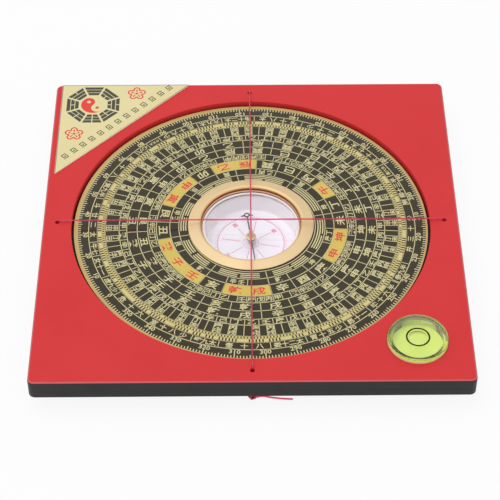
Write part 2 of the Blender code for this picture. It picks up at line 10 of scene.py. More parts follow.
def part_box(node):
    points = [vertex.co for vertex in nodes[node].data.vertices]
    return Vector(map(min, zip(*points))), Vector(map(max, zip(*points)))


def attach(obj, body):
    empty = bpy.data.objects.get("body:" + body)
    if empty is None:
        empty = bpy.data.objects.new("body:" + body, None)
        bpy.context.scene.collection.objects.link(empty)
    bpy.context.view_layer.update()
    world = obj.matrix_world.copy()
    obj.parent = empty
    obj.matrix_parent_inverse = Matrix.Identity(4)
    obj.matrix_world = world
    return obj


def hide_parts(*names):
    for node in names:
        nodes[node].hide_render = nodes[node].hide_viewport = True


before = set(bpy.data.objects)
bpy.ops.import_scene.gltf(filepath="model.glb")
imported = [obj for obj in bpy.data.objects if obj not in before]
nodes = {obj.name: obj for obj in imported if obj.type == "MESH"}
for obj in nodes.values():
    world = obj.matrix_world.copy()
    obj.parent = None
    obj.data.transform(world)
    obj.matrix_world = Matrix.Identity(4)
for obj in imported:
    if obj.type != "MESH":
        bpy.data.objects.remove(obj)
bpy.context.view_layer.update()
mm = 0.001
print("frame loaded with", len(nodes), "nodes")

# The view: a camera in front of the board, looking down at it

view = {
    "place": (-2.576 * mm, -425.129 * mm, 444.497 * mm),
    "lens": 126.75,   # focal length in millimetres
    "nearest": 10 * mm,
    "pitch": 46.392,
    "yaw": 0.3039,
    "roll": -0.14185,
}


# Stands a camera or a lamp at a place; right, up and back are the columns of its matrix
def aim(thing, place, right, up, back):
    bpy.context.scene.collection.objects.link(thing)
    turn = np.eye(4)
    turn[:3] = np.stack([right, up, back, place], axis=1)
    thing.matrix_world = Matrix(turn.tolist())


# Looks down by pitch and to the right by yaw, then rolls
def makeCamera(view):
    pitch, yaw, roll = (math.radians(view[name]) for name in ("pitch", "yaw", "roll"))
    forward = np.array([math.sin(yaw) * math.cos(pitch), math.cos(yaw) * math.cos(pitch), -math.sin(pitch)])
    level = np.array([math.cos(yaw), -math.sin(yaw), 0.0])
    above = np.cross(level, forward)
    right = math.cos(roll) * level + math.sin(roll) * above
    up = math.cos(roll) * above - math.sin(roll) * level
    lens = bpy.data.cameras.new("camera")
    lens.lens = view["lens"]
    lens.clip_start = view["nearest"]
    camera = bpy.data.objects.new("camera", lens)
    aim(camera, view["place"], right, up, -forward)
    bpy.context.scene.camera = camera


makeCamera(view)
print("camera placed")


# Tools for materials

# An sRGB hex colour as linear red, green, blue and alpha:
# c / 12.92 when dark, else ((c + 0.055) / 1.055) ^ 2.4
def linear(colour):
    share = np.array([int(colour[start:start + 2], 16) for start in (0, 2, 4)]) / 255
    bright = ((share + 0.055) / 1.055) ** 2.4
    return (*np.where(share <= 0.04045, share / 12.92, bright).tolist(), 1.0)


# Adds a node; settings are its own properties, and inputs are values or the sockets that feed it
def addNode(tree, kind, settings=None, inputs=None):
    node = tree.nodes.new(kind)
    for name, value in (settings or {}).items():
        setattr(node, name, value)
    for name, value in (inputs or {}).items():
        if isinstance(value, bpy.types.NodeSocket):
            tree.links.new(value, node.inputs[name])
        else:
            node.inputs[name].default_value = value
    return node


# A new material with its shader set up; values are the shader's own sockets
def startMaterial(name, values):
    material = bpy.data.materials.new(name)
    material.use_nodes = True
    tree = material.node_tree
    shader = tree.nodes["Principled BSDF"]
    for socket, value in values.items():
        shader.inputs[socket].default_value = value
    return material, tree, shader


# 1 for a ray of one of the named kinds and 0 for any other: the highest of their values
def rayIs(tree, *kinds):
    path = addNode(tree, "ShaderNodeLightPath")
    found = path.outputs[kinds[0]]
    for kind in kinds[1:]:
        found = addNode(tree, "ShaderNodeMath", {"operation": "MAXIMUM"}, {
            0: found, 1: path.outputs[kind]}).outputs["Value"]
    return found


# Soft patches between two close colours, a relief and a little change in gloss. patch is the size of a
# patch and mottle its detail and roughness, depth and relief are the height and strength of the relief,
# and gloss is the lowest and highest roughness.
def patchSurface(tree, shader, look, place, height):
    detail, roughness = look.get("mottle", (3.0, 0.55))
    patch = addNode(tree, "ShaderNodeTexNoise", {}, {
        "Vector": place, "Scale": 1 / look["patch"], "Detail": detail, "Roughness": roughness})
    tone = addNode(tree, "ShaderNodeMixRGB", {}, {
        "Fac": patch.outputs["Fac"], "Color1": linear(look["dark"]), "Color2": linear(look["light"])})
    tree.links.new(tone.outputs["Color"], shader.inputs["Base Color"])
    relief = addNode(tree, "ShaderNodeBump", {}, {
        "Height": height, "Strength": look.get("relief", 0.4), "Distance": look["depth"]})
    tree.links.new(relief.outputs["Normal"], shader.inputs["Normal"])
    if "gloss" in look:
        lowest, highest = look["gloss"]
        gloss = addNode(tree, "ShaderNodeMapRange", {}, {
            "Value": patch.outputs["Fac"], "From Min": 0.3, "From Max": 0.7,
            "To Min": lowest, "To Max": highest})
        tree.links.new(gloss.outputs["Result"], shader.inputs["Roughness"])


# A surface in soft patches with a fine grain in its relief; grain is the size of one grain
def patchyFinish(name, look, values=None):
    material, tree, shader = startMaterial(name, values or {})
    place = addNode(tree, "ShaderNodeTexCoord").outputs["Object"]
    grain = addNode(tree, "ShaderNodeTexNoise", {}, {
        "Vector": place, "Scale": 1 / look["grain"], "Detail": 2.0})
    patchSurface(tree, shader, look, place, grain.outputs["Fac"])
    return material


# A turned metal: fine rings round the middle, whose height is a wave of the distance from the axis
def spunMetal(name, look):
    ringsAtScaleOne = 0.314   # how far apart the wave's rings are at scale 1, in metres
    material, tree, shader = startMaterial(name, {"Metallic": 1.0})
    place = addNode(tree, "ShaderNodeTexCoord").outputs["Object"]
    rings = addNode(tree, "ShaderNodeTexWave", {"wave_type": "RINGS", "rings_direction": "Z"}, {
        "Vector": place, "Scale": ringsAtScaleOne / look["groove"],
        "Distortion": 0.6, "Detail": 2.0, "Detail Scale": 3.0})
    patchSurface(tree, shader, look, place, rings.outputs["Fac"])
    return material


# Something clear: it bends what is seen through it, and lamps shine through it. Its surface swells slightly.
def clearFinish(name, colour, index):
    swellSize = 4 * mm
    swellDepth = 0.004 * mm
    material, tree, shader = startMaterial(name, {
        "Base Color": linear(colour), "Roughness": 0.0, "IOR": index, "Transmission Weight": 1.0})
    place = addNode(tree, "ShaderNodeTexCoord").outputs["Object"]
    swell = addNode(tree, "ShaderNodeTexNoise", {}, {
        "Vector": place, "Scale": 1 / swellSize, "Detail": 1.0})
    relief = addNode(tree, "ShaderNodeBump", {}, {
        "Height": swell.outputs["Fac"], "Strength": 0.3, "Distance": swellDepth})
    tree.links.new(relief.outputs["Normal"], shader.inputs["Normal"])
    shade = addNode(tree, "ShaderNodeBsdfTransparent", {}, {"Color": linear(colour)})
    pick = addNode(tree, "ShaderNodeMixShader", {}, {
        "Fac": rayIs(tree, "Is Shadow Ray"), 1: shader.outputs["BSDF"], 2: shade.outputs["BSDF"]})
    tree.links.new(pick.outputs["Shader"], tree.nodes["Material Output"].inputs["Surface"])
    return material


# Tools for shapes

# Puts vertices and faces into a new mesh object; doubles are merged and the faces turned outwards
def buildMesh(name, verts, faces, material, smooth=True):
    mergeDistance = 0.0005 * mm
    sharpAngle = math.radians(32)
    mesh = bpy.data.meshes.new(name)
    mesh.from_pydata(np.asarray(verts).tolist(), [], [list(face) for face in faces])
    work = bmesh.new()
    work.from_mesh(mesh)
    bmesh.ops.remove_doubles(work, verts=work.verts, dist=mergeDistance)
    bmesh.ops.dissolve_degenerate(work, edges=work.edges, dist=mergeDistance)
    bmesh.ops.recalc_face_normals(work, faces=work.faces)
    work.to_mesh(mesh)
    work.free()
    if smooth:
        mesh.shade_smooth()
        mesh.set_sharp_from_angle(angle=sharpAngle)
    mesh.materials.append(material)
    piece = bpy.data.objects.new(name, mesh)
    bpy.context.scene.collection.objects.link(piece)
    return piece


# Gives faces other materials of their piece; pick works out each face's slot from the normals and centres
def pickMaterials(piece, pick):
    polygons = piece.data.polygons
    normals = np.empty(len(polygons) * 3)
    centres = np.empty(len(polygons) * 3)
    polygons.foreach_get("normal", normals)
    polygons.foreach_get("center", centres)
    slots = pick(normals.reshape(-1, 3), centres.reshape(-1, 3))
    polygons.foreach_set("material_index", slots.astype(np.int32))


# Four-sided faces of a grid of rows and columns, either of which may close on itself
def gridFaces(rows, columns, wrapRows, wrapColumns):
    index = np.arange(rows * columns).reshape(rows, columns)
    if wrapRows:
        index = np.vstack([index, index[:1]])
    if wrapColumns:
        index = np.hstack([index, index[:, :1]])
    corners = [index[:-1, :-1], index[1:, :-1], index[1:, 1:], index[:-1, 1:]]
    return np.stack(corners, axis=-1).reshape(-1, 4)


# Faces of a four-sided bar of so many rows, closed at both ends
def barFaces(rows):
    ends = [[0, 1, 2, 3], [rows * 4 - 1 - i for i in range(4)]]
    return gridFaces(rows, 4, False, True).tolist() + ends


# The way an angle in radians points: (cos a, sin a)
def direction(angle):
    return np.stack([np.cos(angle), np.sin(angle)], axis=-1)


# A quarter turn to the left of directions: (x, y) becomes (-y, x)
def leftOf(way):
    return way[..., ::-1] * (-1, 1)


# A line from start to end, drawn towards a corner: (1-t)^2 start + 2t(1-t) corner + t^2 end
def bentLine(start, corner, end, t):
    return (1 - t) ** 2 * start + 2 * t * (1 - t) * corner + t ** 2 * end


# Rounds a closed profile: up to size away from a corner the line is bent towards it.
# Points on the axis stay.
def roundCorners(profile, size, steps=4):
    corner = np.array(profile, float)
    before = np.roll(corner, 1, axis=0) - corner
    after = np.roll(corner, -1, axis=0) - corner
    lengthBefore = np.linalg.norm(before, axis=1, keepdims=True)
    lengthAfter = np.linalg.norm(after, axis=1, keepdims=True)
    reach = np.minimum(size, 0.45 * np.minimum(lengthBefore, lengthAfter))
    reach = np.where(corner[:, :1] > 0, reach, 0)
    start = corner + before / lengthBefore * reach
    end = corner + after / lengthAfter * reach
    t = np.linspace(0, 1, steps + 1)[None, :, None]
    return bentLine(start[:, None], corner[:, None], end[:, None], t).reshape(-1, 2)


# Only the rounded points of the corners first to last
def someCorners(profile, first, last, size, steps):
    return roundCorners(profile, size, steps)[first * (steps + 1):(last + 1) * (steps + 1)]


# Points of an arc in the profile's plane: centre + radius (cos a, sin a), a in degrees
def arc(centre, radius, start, end, steps=12):
    return np.asarray(centre) + radius * direction(np.radians(np.linspace(start, end, steps + 1)))


# The section of a ring as radius and height, or of a disc where inner is 0
def boxSection(inner, outer, bottom, top):
    return [(inner, bottom), (outer, bottom), (outer, top), (inner, top)]


# Carries a profile of radius and height through angles: (r cos a, r sin a, h)
def sweep(profile, angle):
    profile = np.asarray(profile, float)
    flat = profile[:, :1] * direction(angle)[..., None, :]
    height = np.broadcast_to(profile[:, 1:], (*flat.shape[:-1], 1))
    return np.concatenate([flat, height], axis=-1)


# A closed profile carried all the way round an upright axis
def turned(name, profile, material, centre=(0.0, 0.0), steps=192):
    points = sweep(profile, np.linspace(0, 2 * np.pi, steps, endpoint=False)).reshape(-1, 3)
    points[:, :2] += centre
    return buildMesh(name, points, gridFaces(steps, len(profile), True, True), material)


# A round tube along a path: path + radius (cos a · side + sin a · up), where side is tangent × guide.
# Its ends are closed by rounding the radius down to nothing.
def tube(name, path, radius, guide, material, sides=14, closed=False):
    path = np.asarray(path, float)
    if closed:
        tangent = np.roll(path, -1, axis=0) - np.roll(path, 1, axis=0)
        size = np.full(len(path), radius)
    else:
        tangent = np.gradient(path, axis=0)
        cap = np.linspace(0, np.pi / 2, 5)[:-1]
        first = path[0] - np.outer(np.cos(cap) * radius, tangent[0] / np.linalg.norm(tangent[0]))
        last = path[-1] + np.outer(np.cos(cap) * radius, tangent[-1] / np.linalg.norm(tangent[-1]))
        size = np.concatenate([np.sin(cap), np.ones(len(path)), np.sin(cap)[::-1]]) * radius
        tangent = np.pad(tangent, ((len(cap), len(cap)), (0, 0)), mode="edge")
        path = np.vstack([first, path, last[::-1]])
    tangent /= np.linalg.norm(tangent, axis=1, keepdims=True)
    side = np.cross(tangent, np.asarray(guide, float))
    side /= np.linalg.norm(side, axis=1, keepdims=True)
    up = np.cross(side, tangent)
    angle = np.linspace(0, 2 * np.pi, sides, endpoint=False)[None, :, None]
    ring = np.cos(angle) * side[:, None] + np.sin(angle) * up[:, None]
    points = path[:, None] + size[:, None, None] * ring
    faces = gridFaces(len(path), sides, closed, True)
    return buildMesh(name, points.reshape(-1, 3), faces, material)


# A square outline with round corners, and the directions that point out of it
def roundedSquare(half, corner, steps=14):
    angle = np.arange(4)[:, None] * np.pi / 2 + np.linspace(0, np.pi / 2, steps)[None, :]
    outward = direction(angle)
    middle = np.array([(1, 1), (-1, 1), (-1, -1), (1, -1)])[:, None, :] * (half - corner)
    return (middle + corner * outward).reshape(-1, 2), outward.reshape(-1, 2)


# A round hole in a plate, and the directions that point out of the plate's stuff, into the hole
def roundHole(centre, radius, steps):
    outward = direction(np.linspace(0, 2 * np.pi, steps, endpoint=False))
    return np.array(centre) + radius * outward, -outward


# A flat plate with holes. Each edge line is carried down its wall, point = line - outward · inset, with
# quarter rounds at the lip and the foot; the flats between the lines are filled.
# A hole with a floor is blind.
def makePlate(name, edges, bottom, top, material):
    quarter = np.linspace(0, np.pi / 2, 6)
    support = 0.25 * mm   # a strip of flat beside each edge keeps its shading clean
    verts = []
    faces = []
    topLines = []
    bottomLines = []
    count = 0
    for edge in edges:
        line, outward = edge["line"]
        lip = edge.get("lip", 0.0)
        foot = edge.get("foot", 0.0)
        floor = edge.get("floor", bottom)
        upper = np.stack([lip * (1 - np.sin(quarter)), top - lip * (1 - np.cos(quarter))], axis=1)
        lower = np.stack([foot * (1 - np.cos(quarter)), floor + foot * (1 - np.sin(quarter))], axis=1)
        inwards = -support if "floor" in edge else foot + support
        section = np.vstack([[lip + support, top], upper, lower, [inwards, floor]])
        flat = line[:, None] - outward[:, None] * section[None, :, :1]
        height = np.broadcast_to(section[None, :, 1:], (*flat.shape[:2], 1))
        verts.append(np.concatenate([flat, height], axis=-1).reshape(-1, 3))
        faces += (gridFaces(len(line), len(section), True, False) + count).tolist()
        ring = count + np.arange(len(line)) * len(section)
        topLines.append(ring)
        if "floor" in edge:
            faces.append((ring + len(section) - 1).tolist())
        else:
            bottomLines.append(ring + len(section) - 1)
        count += len(line) * len(section)
    verts = np.vstack(verts)
    for lines in (topLines, bottomLines):
        order = np.concatenate(lines)
        filled = tessellate_polygon([verts[line].tolist() for line in lines])
        faces += order[np.array(filled)].tolist()
    return buildMesh(name, verts, faces, material)


# Closed slabs from flat outlines: n outlines of m corners are lifted from bottom to top
def slabs(outlines, bottom, top):
    outlines = np.asarray(outlines, float)
    count, corners = outlines.shape[:2]
    low = np.dstack([outlines, np.full((count, corners), bottom)])
    high = np.dstack([outlines, np.full((count, corners), top)])
    verts = np.concatenate([low, high], axis=1).reshape(-1, 3)
    first = np.arange(count)[:, None] * 2 * corners
    ring = np.arange(corners)
    after = np.roll(ring, -1)
    sides = np.stack([first + ring, first + after, first + corners + after, first + corners + ring], axis=-1)
    faces = sides.reshape(-1, 4).tolist() + (first + corners + ring).tolist()
    return verts, faces + (first + ring[::-1]).tolist()


# Closed slabs between two bearings and two distances from the middle, as a grid of small steps in degrees
def sectors(starts, ends, inner, outer, bottom, top, step=1.5):
    starts = np.atleast_1d(np.asarray(starts, float))
    ends = np.atleast_1d(np.asarray(ends, float))
    rows = max(1, math.ceil(float(np.max(ends - starts)) / step)) + 1
    share = np.linspace(0, 1, rows)[None, :]
    angle = turnOf(starts[:, None] + (ends - starts)[:, None] * share)
    points = sweep(boxSection(inner, outer, bottom, top), angle)
    offset = np.arange(len(starts))[:, None, None] * rows * 4
    faces = (np.array(barFaces(rows))[None] + offset).reshape(-1, 4)
    return points.reshape(-1, 3), faces.tolist()


# A closed washer round the middle
def hoop(middle, width, bottom, top, steps=240):
    section = boxSection(middle - width / 2, middle + width / 2, bottom, top)
    points = sweep(section, np.linspace(0, 2 * np.pi, steps, endpoint=False))
    return points.reshape(-1, 3), gridFaces(steps, 4, True, True).tolist()


# Straight bars that point to the middle: a bar of one width between two distances, at each bearing
def radialBars(bearings, inner, outer, width, bottom, top):
    outwards = direction(turnOf(np.asarray(bearings, float)))
    aside = leftOf(outwards) * (width / 2)
    near = outwards * np.broadcast_to(inner, len(outwards))[:, None]
    far = outwards * outer
    return slabs(np.stack([near - aside, far - aside, far + aside, near + aside], axis=1), bottom, top)


# A flat band of one width along an open line of points, as a closed slab; corners are mitred
def band(line, width, bottom, top):
    line = np.asarray(line, float)
    step = np.diff(line, axis=0)
    step /= np.linalg.norm(step, axis=1, keepdims=True)
    aside = leftOf(step)
    before = np.vstack([aside[:1], aside])
    after = np.vstack([aside, aside[-1:]])
    mitre = (before + after) / (1 + np.sum(before * after, axis=1, keepdims=True)) * width / 2
    ring = [
        np.insert(line + side * mitre, 2, height, axis=1)
        for side, height in ((1, bottom), (-1, bottom), (-1, top), (1, top))
    ]
    return np.stack(ring, axis=1).reshape(-1, 3), barFaces(len(line))


# Joins closed parts, each a pair of vertices and faces, into one piece
def joinParts(name, parts, material):
    verts = np.vstack([part[0] for part in parts])
    faces = []
    count = 0
    for partVerts, partFaces in parts:
        faces += [[corner + count for corner in face] for face in partFaces]
        count += len(partVerts)
    return buildMesh(name, verts, faces, material, smooth=False)


# Gives a piece its body and hides the CAD nodes that it stands for; slot is not used
def settle(piece, body, slot, *replaced):
    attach(piece, body)
    if replaced:
        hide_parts(*replaced)
    return piece


# The height of a CAD node's top
def topOf(node):
    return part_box(node)[1].z


# The height of its underside
def bottomOf(node):
    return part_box(node)[0].z


# Both heights, the lower one first
def spanOf(node):
    return bottomOf(node), topOf(node)


# Half of its width
def radiusOf(node):
    low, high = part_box(node)
    return (high.x - low.x) / 2


# The middle of its box, seen from above
def middleOf(node):
    low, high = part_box(node)
    return ((low.x + high.x) / 2, (low.y + high.y) / 2)


# Light and floor

studio = {
    "worldStrength": 0.72,
    "lampPower": 4.2,
    "lampSize": 0.8,
    "lampPlace": (-0.3, 0.05, 1.15),
    "floorColour": "F2F2F2",
    "floorGlow": 0.9,
    "floorHalf": 3.0,
}


# An even white world, one soft lamp above, and a pale floor that still takes a shadow
def makeStudio(studio):
    scene = bpy.context.scene
    scene.view_settings.view_transform = "Standard"
    world = bpy.data.worlds.new("studio")
    world.use_nodes = True
    scene.world = world
    tree = world.node_tree
    tree.nodes.clear()
    strength = addNode(tree, "ShaderNodeMapRange", {}, {
        "Value": rayIs(tree, "Is Camera Ray", "Is Glossy Ray", "Is Transmission Ray"),
        "To Min": studio["worldStrength"], "To Max": 1.0})
    sky = addNode(tree, "ShaderNodeBackground", {}, {
        "Color": (1, 1, 1, 1), "Strength": strength.outputs["Result"]})
    addNode(tree, "ShaderNodeOutputWorld", {}, {"Surface": sky.outputs["Background"]})

    lamp = bpy.data.lights.new("softLamp", "AREA")
    lamp.energy = studio["lampPower"]
    lamp.size = studio["lampSize"]
    place = np.array(studio["lampPlace"])
    back = place / np.linalg.norm(place)
    side = np.cross((0, 1, 0), back)
    side /= np.linalg.norm(side)
    aim(bpy.data.objects.new("softLamp", lamp), place, side, np.cross(back, side), back)

    material, tree, shader = startMaterial("pale studio floor", {
        "Base Color": linear(studio["floorColour"]), "Roughness": 0.9})
    share = addNode(tree, "ShaderNodeMath", {"operation": "MULTIPLY"}, {
        0: rayIs(tree, "Is Camera Ray", "Is Transmission Ray"), 1: studio["floorGlow"]})
    glow = addNode(tree, "ShaderNodeEmission", {}, {"Color": (1, 1, 1, 1), "Strength": 1.0})
    mix = addNode(tree, "ShaderNodeMixShader", {}, {
        "Fac": share.outputs["Value"], 1: shader.outputs["BSDF"], 2: glow.outputs["Emission"]})
    tree.links.new(mix.outputs["Shader"], tree.nodes["Material Output"].inputs["Surface"])
    half = studio["floorHalf"]
    corners = [(-half, -half, 0), (half, -half, 0), (half, half, 0), (-half, half, 0)]
    buildMesh("floor", corners, [[0, 1, 2, 3]], material, smooth=False)


makeStudio(studio)
print("studio lit")


# Board: a black base with a red panel glued on it

board = {
    "cornerRadius": 2.1 * mm,
    "panelLip": 0.75 * mm,
    "baseFoot": 0.25 * mm,
    "recessRadius": 61.7 * mm,
    "recessLip": 0.35 * mm,
    "hubHoleRadius": 18.4 * mm,
    "hubHoleLip": 0.1 * mm,
    "hubHoleFoot": 0.3 * mm,
    "levelHoleRadius": 10.05 * mm,
    "levelHoleFloor": 6.8 * mm,
    "stringHoleRadius": 0.75 * mm,
    "stringHoleOffset": 66.6 * mm,
    "drilledLip": 0.15 * mm,   # of the small holes and the level's
    "blackBelow": 0.5,   # how far up a face may look before it is red
    "lipHighlightBelow": 0.95,   # and before it is full red, with no painted highlight
    # sprayed red lacquer on fibreboard: an even, slightly orange-peeled satin surface
    "red": {"dark": "D02A2D", "light": "DC3335", "patch": 22 * mm, "grain": 0.9 * mm, "depth": 0.006 * mm,
            "gloss": (0.34, 0.44)},
    # the same lacquer made paler where the edge rounds over: a painted highlight
    "lipHighlightRed": {"dark": "CC5A5E", "light": "D8686A", "patch": 6 * mm, "grain": 0.9 * mm, "depth": 0.006 * mm,
                "gloss": (0.34, 0.44)},
    # sprayed black lacquer on sawn board edges: satin, with the grain of the board faintly through it
    "black": {"dark": "0D0C0B", "light": "1E1C1B", "patch": 7 * mm, "grain": 0.5 * mm, "depth": 0.02 * mm,
              "gloss": (0.38, 0.55)},
}


# Two plates with the same square border: the panel has the recess, and the base has the hub's hole
def makeBoard(board):
    red = patchyFinish("sprayed red lacquer", board["red"], {"Specular IOR Level": 0.28})
    # a paler red: the painted highlight on the rounded edge
    lipHighlight = patchyFinish("red lacquer with a painted highlight on the edge", board["lipHighlightRed"], {"Specular IOR Level": 0.28})
    black = patchyFinish("sprayed black lacquer", board["black"])
    half = radiusOf("top_panel")
    drilled = board["drilledLip"]
    offset = board["stringHoleOffset"]
    border = roundedSquare(half, board["cornerRadius"])
    levelHole = roundHole(middleOf("level_body"), board["levelHoleRadius"], 96)
    stringHoles = [
        roundHole(centre, board["stringHoleRadius"], 32)
        for centre in ((offset, 0), (-offset, 0), (0, offset), (0, -offset))
    ]
    edges = [
        {"line": border, "lip": board["panelLip"]},
        {"line": roundHole((0, 0), board["recessRadius"], 256), "lip": board["recessLip"]},
        *({"line": line, "lip": drilled} for line in (levelHole, *stringHoles)),
    ]
    panel = makePlate("redPanel", edges, *spanOf("top_panel"), red)
    # the outer sides were sprayed black with the base, and where they begin the red carries a painted
    # highlight
    panel.data.materials.append(black)
    panel.data.materials.append(lipHighlight)

    # black where a side looks out, paler red as a painted highlight where it turns up to the top, full red
    # everywhere else
    def pickSides(normals, centres):
        outer = np.abs(centres[:, :2]).max(axis=1) > half - 3 * board["panelLip"]
        upward = normals[:, 2]
        slots = np.where(upward < board["blackBelow"], 1, np.where(upward < board["lipHighlightBelow"], 2, 0))
        return np.where(outer, slots, 0)

    pickMaterials(panel, pickSides)
    settle(panel, "board", "red_lacquer", "top_panel")

    hubHole = roundHole((0, 0), board["hubHoleRadius"], 128)
    edges = [
        {"line": border, "foot": board["baseFoot"]},
        {"line": hubHole, "lip": board["hubHoleLip"], "foot": board["hubHoleFoot"]},
        {"line": levelHole, "floor": board["levelHoleFloor"]},
        *({"line": line, "foot": drilled} for line in stringHoles),
    ]
    base = makePlate("blackBase", edges, *spanOf("base_board"), black)
    settle(base, "board", "black_lacquer", "base_board")


makeBoard(board)
print("board made")

feet = {
    "edge": 0.9 * mm,
    "dimpleRadius": 1.6 * mm,
    "dimpleFlatShare": 0.8,
    "dimpleDepth": 0.7 * mm,
    "round": 0.35 * mm,
    # moulded rubber bumpers: matt, slightly dusty black
    "rubber": {"dark": "1C1C1C", "light": "262626", "patch": 3 * mm, "grain": 0.25 * mm, "depth": 0.01 * mm,
               "gloss": (0.7, 0.85)},
}


# A disc with a chamfered rim and a screw dimple, turned about each foot's middle
def makeFeet(feet):
    rubber = patchyFinish("moulded black rubber", feet["rubber"])
    dimple = feet["dimpleRadius"]
    edge = feet["edge"]
    for name in ("foot_front_left", "foot_front_right", "foot_back_left", "foot_back_right"):
        radius = radiusOf(name)
        profile = roundCorners([
            (0, feet["dimpleDepth"]),
            (dimple * feet["dimpleFlatShare"], feet["dimpleDepth"]),
            (dimple, 0),
            (radius - edge, 0),
            (radius, edge),
            (radius, topOf(name)),
            (0, topOf(name)),
        ], feet["round"])
        piece = turned(name.replace("_", "") + "Bumper", profile, rubber, middleOf(name), 64)
        settle(piece, "board", "foot_rubber", name)


makeFeet(feet)
print("feet made")


# Dial: a black enamelled plate with gold print

# How print lies on a surface: in small patches with hardly any relief
goldPrint = {"patch": 8 * mm, "grain": 0.3 * mm, "depth": 0.002 * mm, "gloss": (0.2, 0.3)}
glossyInk = {"patch": 3 * mm, "grain": 0.2 * mm, "depth": 0.002 * mm, "gloss": (0.2, 0.3)}
softInk = {**glossyInk, "gloss": (0.4, 0.5)}

dial = {
    "boreRadius": 18.1 * mm,
    "edgeRound": 0.08 * mm,
    "bearingToTheRight": 214.0,   # the bearing that lies along +X
    "inkSink": 0.01 * mm,
    "inkHeight": 0.02 * mm,
    "lineWidth": 0.28 * mm,
    "dividerWidth": 0.25 * mm,
    "printShift": (0.35 * mm, -0.45 * mm),   # the printed sheet lies a little off the middle of the plate
    # the rings from the edge inwards, each with its inner and outer radius
    "rim": (59.85 * mm, 60.9 * mm),
    "mansions": (53.2 * mm, 56.2 * mm),
    "band": (50.5 * mm, 53.2 * mm),
    "pairs": (45.7 * mm, 50.5 * mm),
    "stems": (43.1 * mm, 45.7 * mm),
    "heaven": (39.5 * mm, 43.1 * mm),
    "human": (35.9 * mm, 39.5 * mm),
    "calendar": (32.9 * mm, 35.9 * mm),
    "mountains": (28.3 * mm, 32.9 * mm),
    "corners": (25.2 * mm, 28.3 * mm),
    "innerLine": 21.85 * mm,
    # the bearing of a ring's first divider and the step to the next
    "dividers": {
        "pairs": (1.5, 3), "stems": (1.5, 6), "heaven": (0, 15), "human": (0, 15), "calendar": (2.5, 5),
        "corners": (7.5, 15),
    },
    # the height of a ring's characters, and how much wider than the font's they are
    "type": {
        "numbers": (2.25 * mm, 1.15), "mansions": (2.35 * mm, 1.12), "pairs": (2.25 * mm, 1.15),
        "stems": (2.2 * mm, 1.4), "heaven": (2.9 * mm, 1.45), "human": (2.9 * mm, 1.45),
        "calendar": (2.35 * mm, 1.1), "mountains": (3.4 * mm, 1.35), "corners": (2.4 * mm, 1.0),
    },
    "ticks": {1: 58.85 * mm, 5: 58.45 * mm, 10: 58.15 * mm},
    "tickWidth": 0.36 * mm,
    "numbers": 57.25 * mm,
    "mansionPitch": 5.2,   # degrees from one character to the next where a mansion has room
    "mansionFillShare": 0.94,   # of its width that a narrow mansion's characters take
    "mansionMargin": 0.35,   # degrees
    "mansionSizeShare": 0.92,   # a character's height against its pitch in a narrow mansion
    "bandBars": (51.8 * mm, 53.0 * mm),
    "bandLine": 51.62 * mm,
    "bandLineWidth": 0.1 * mm,
    "bandSquares": (50.8 * mm, 51.42 * mm),
    "bandMark": 0.46 * mm,
    "bandPitch": 1.2,   # degrees
    "bandRuns": (0.5, 349),   # the bearings between which the runs of bars begin
    "bandSquareShare": 0.95,   # of the squares that are there
    "pairShares": (0.27, 0.74),   # how far out a stem and its branch stand in their ring
    "pairShift": 3,   # degrees to either side
    "stemStart": 334.5,
    "cornerPitch": 6.0,
    "cellInset": 0.1 * mm,
    "trigramBars": (22.8 * mm, 23.6 * mm, 24.45 * mm),   # from the top line to the bottom line
    "trigramBarWidth": 0.42 * mm,
    "trigramSpan": 33.8,
    "trigramGap": 2.4,
    # black enamel under a clear baked coat: a slightly warm black with sharp, faint reflections
    "enamel": {"dark": "2D2B24", "light": "35332C", "patch": 9 * mm, "grain": 0.4 * mm, "depth": 0.001 * mm,
               "gloss": (0.1, 0.16)},
    # gold printed on the plate: a pale brassy yellow that catches a little light
    "gold": {**goldPrint, "dark": "D3C892", "light": "E0D6A2", "patch": 6 * mm},
    # the fuller gold of the filled cells
    "deepGold": {**goldPrint, "dark": "D3B750", "light": "DFC560"},
    # the paler band under the black marks
    "paleGold": {**goldPrint, "dark": "D0C07A", "light": "DDCE8E"},
    # the rim, a warmer gold dulled by handling
    "rimGold": {**goldPrint, "dark": "BFA763", "light": "CFB673", "gloss": (0.25, 0.35)},
    # red printing ink over the gold
    "red": {**glossyInk, "dark": "D8332C", "light": "E83F36"},
    "black": {**glossyInk, "dark": "0B0A08", "light": "14120F"},
}

# Traditional names: the stems and branches of the calendar, the 24 directions and the 28 mansions
branches = "子丑寅卯辰巳午未申酉戌亥"
mountains = "子癸丑艮寅甲卯乙辰巽巳丙午丁未坤申庚酉辛戌乾亥壬"
redMountains = "壬子癸寅甲乙辰午坤申戌乾"
redRuns = ("壬癸", "寅甲", "乙辰", "午午", "坤申", "戌乾")   # first and last of each run of gold cells
stemGroups = ("甲丙戊庚壬", "乙丁己辛癸")
pairStems = ("丙庚", "丁辛")
compassPoints = "北東南西"
cornerNames = {
    "坤": "庚丁", "巽": "乙丙", "艮": "甲癸", "乾": "辛壬", "庚": "坤", "丁": "坤", "乙": "巽",
    "丙": "巽", "甲": "艮", "癸": "艮", "辛": "乾", "壬": "乾",
}
# Each mansion's width is in days of the year
mansionNames = (
    ("危十六", 16), ("室十八少", 18.25), ("壁九太", 9.75), ("奎十八", 18), ("娄十二太", 12.75),
    ("胃十五少", 15.25), ("昴十一", 11), ("毕十六半", 16.5), ("", 0.5), ("参九半", 9.5),
    ("井三十少", 30.25), ("鬼", 2.5), ("柳十三半", 13.5), ("星六太", 6.75), ("张十七太", 17.75),
    ("翼二十少", 20.25), ("轸十八太", 18.75), ("角十二太", 12.75), ("亢九太", 9.75),
    ("氐十六少", 16.25), ("房五太", 5.75), ("心六", 6), ("尾十八", 18), ("箕九半", 9.5),
    ("斗廿二太", 22.75), ("牛七", 7), ("女十一", 11), ("虚九少", 9.25),
)
mansionStart = 359.2
yearDays = 365.25
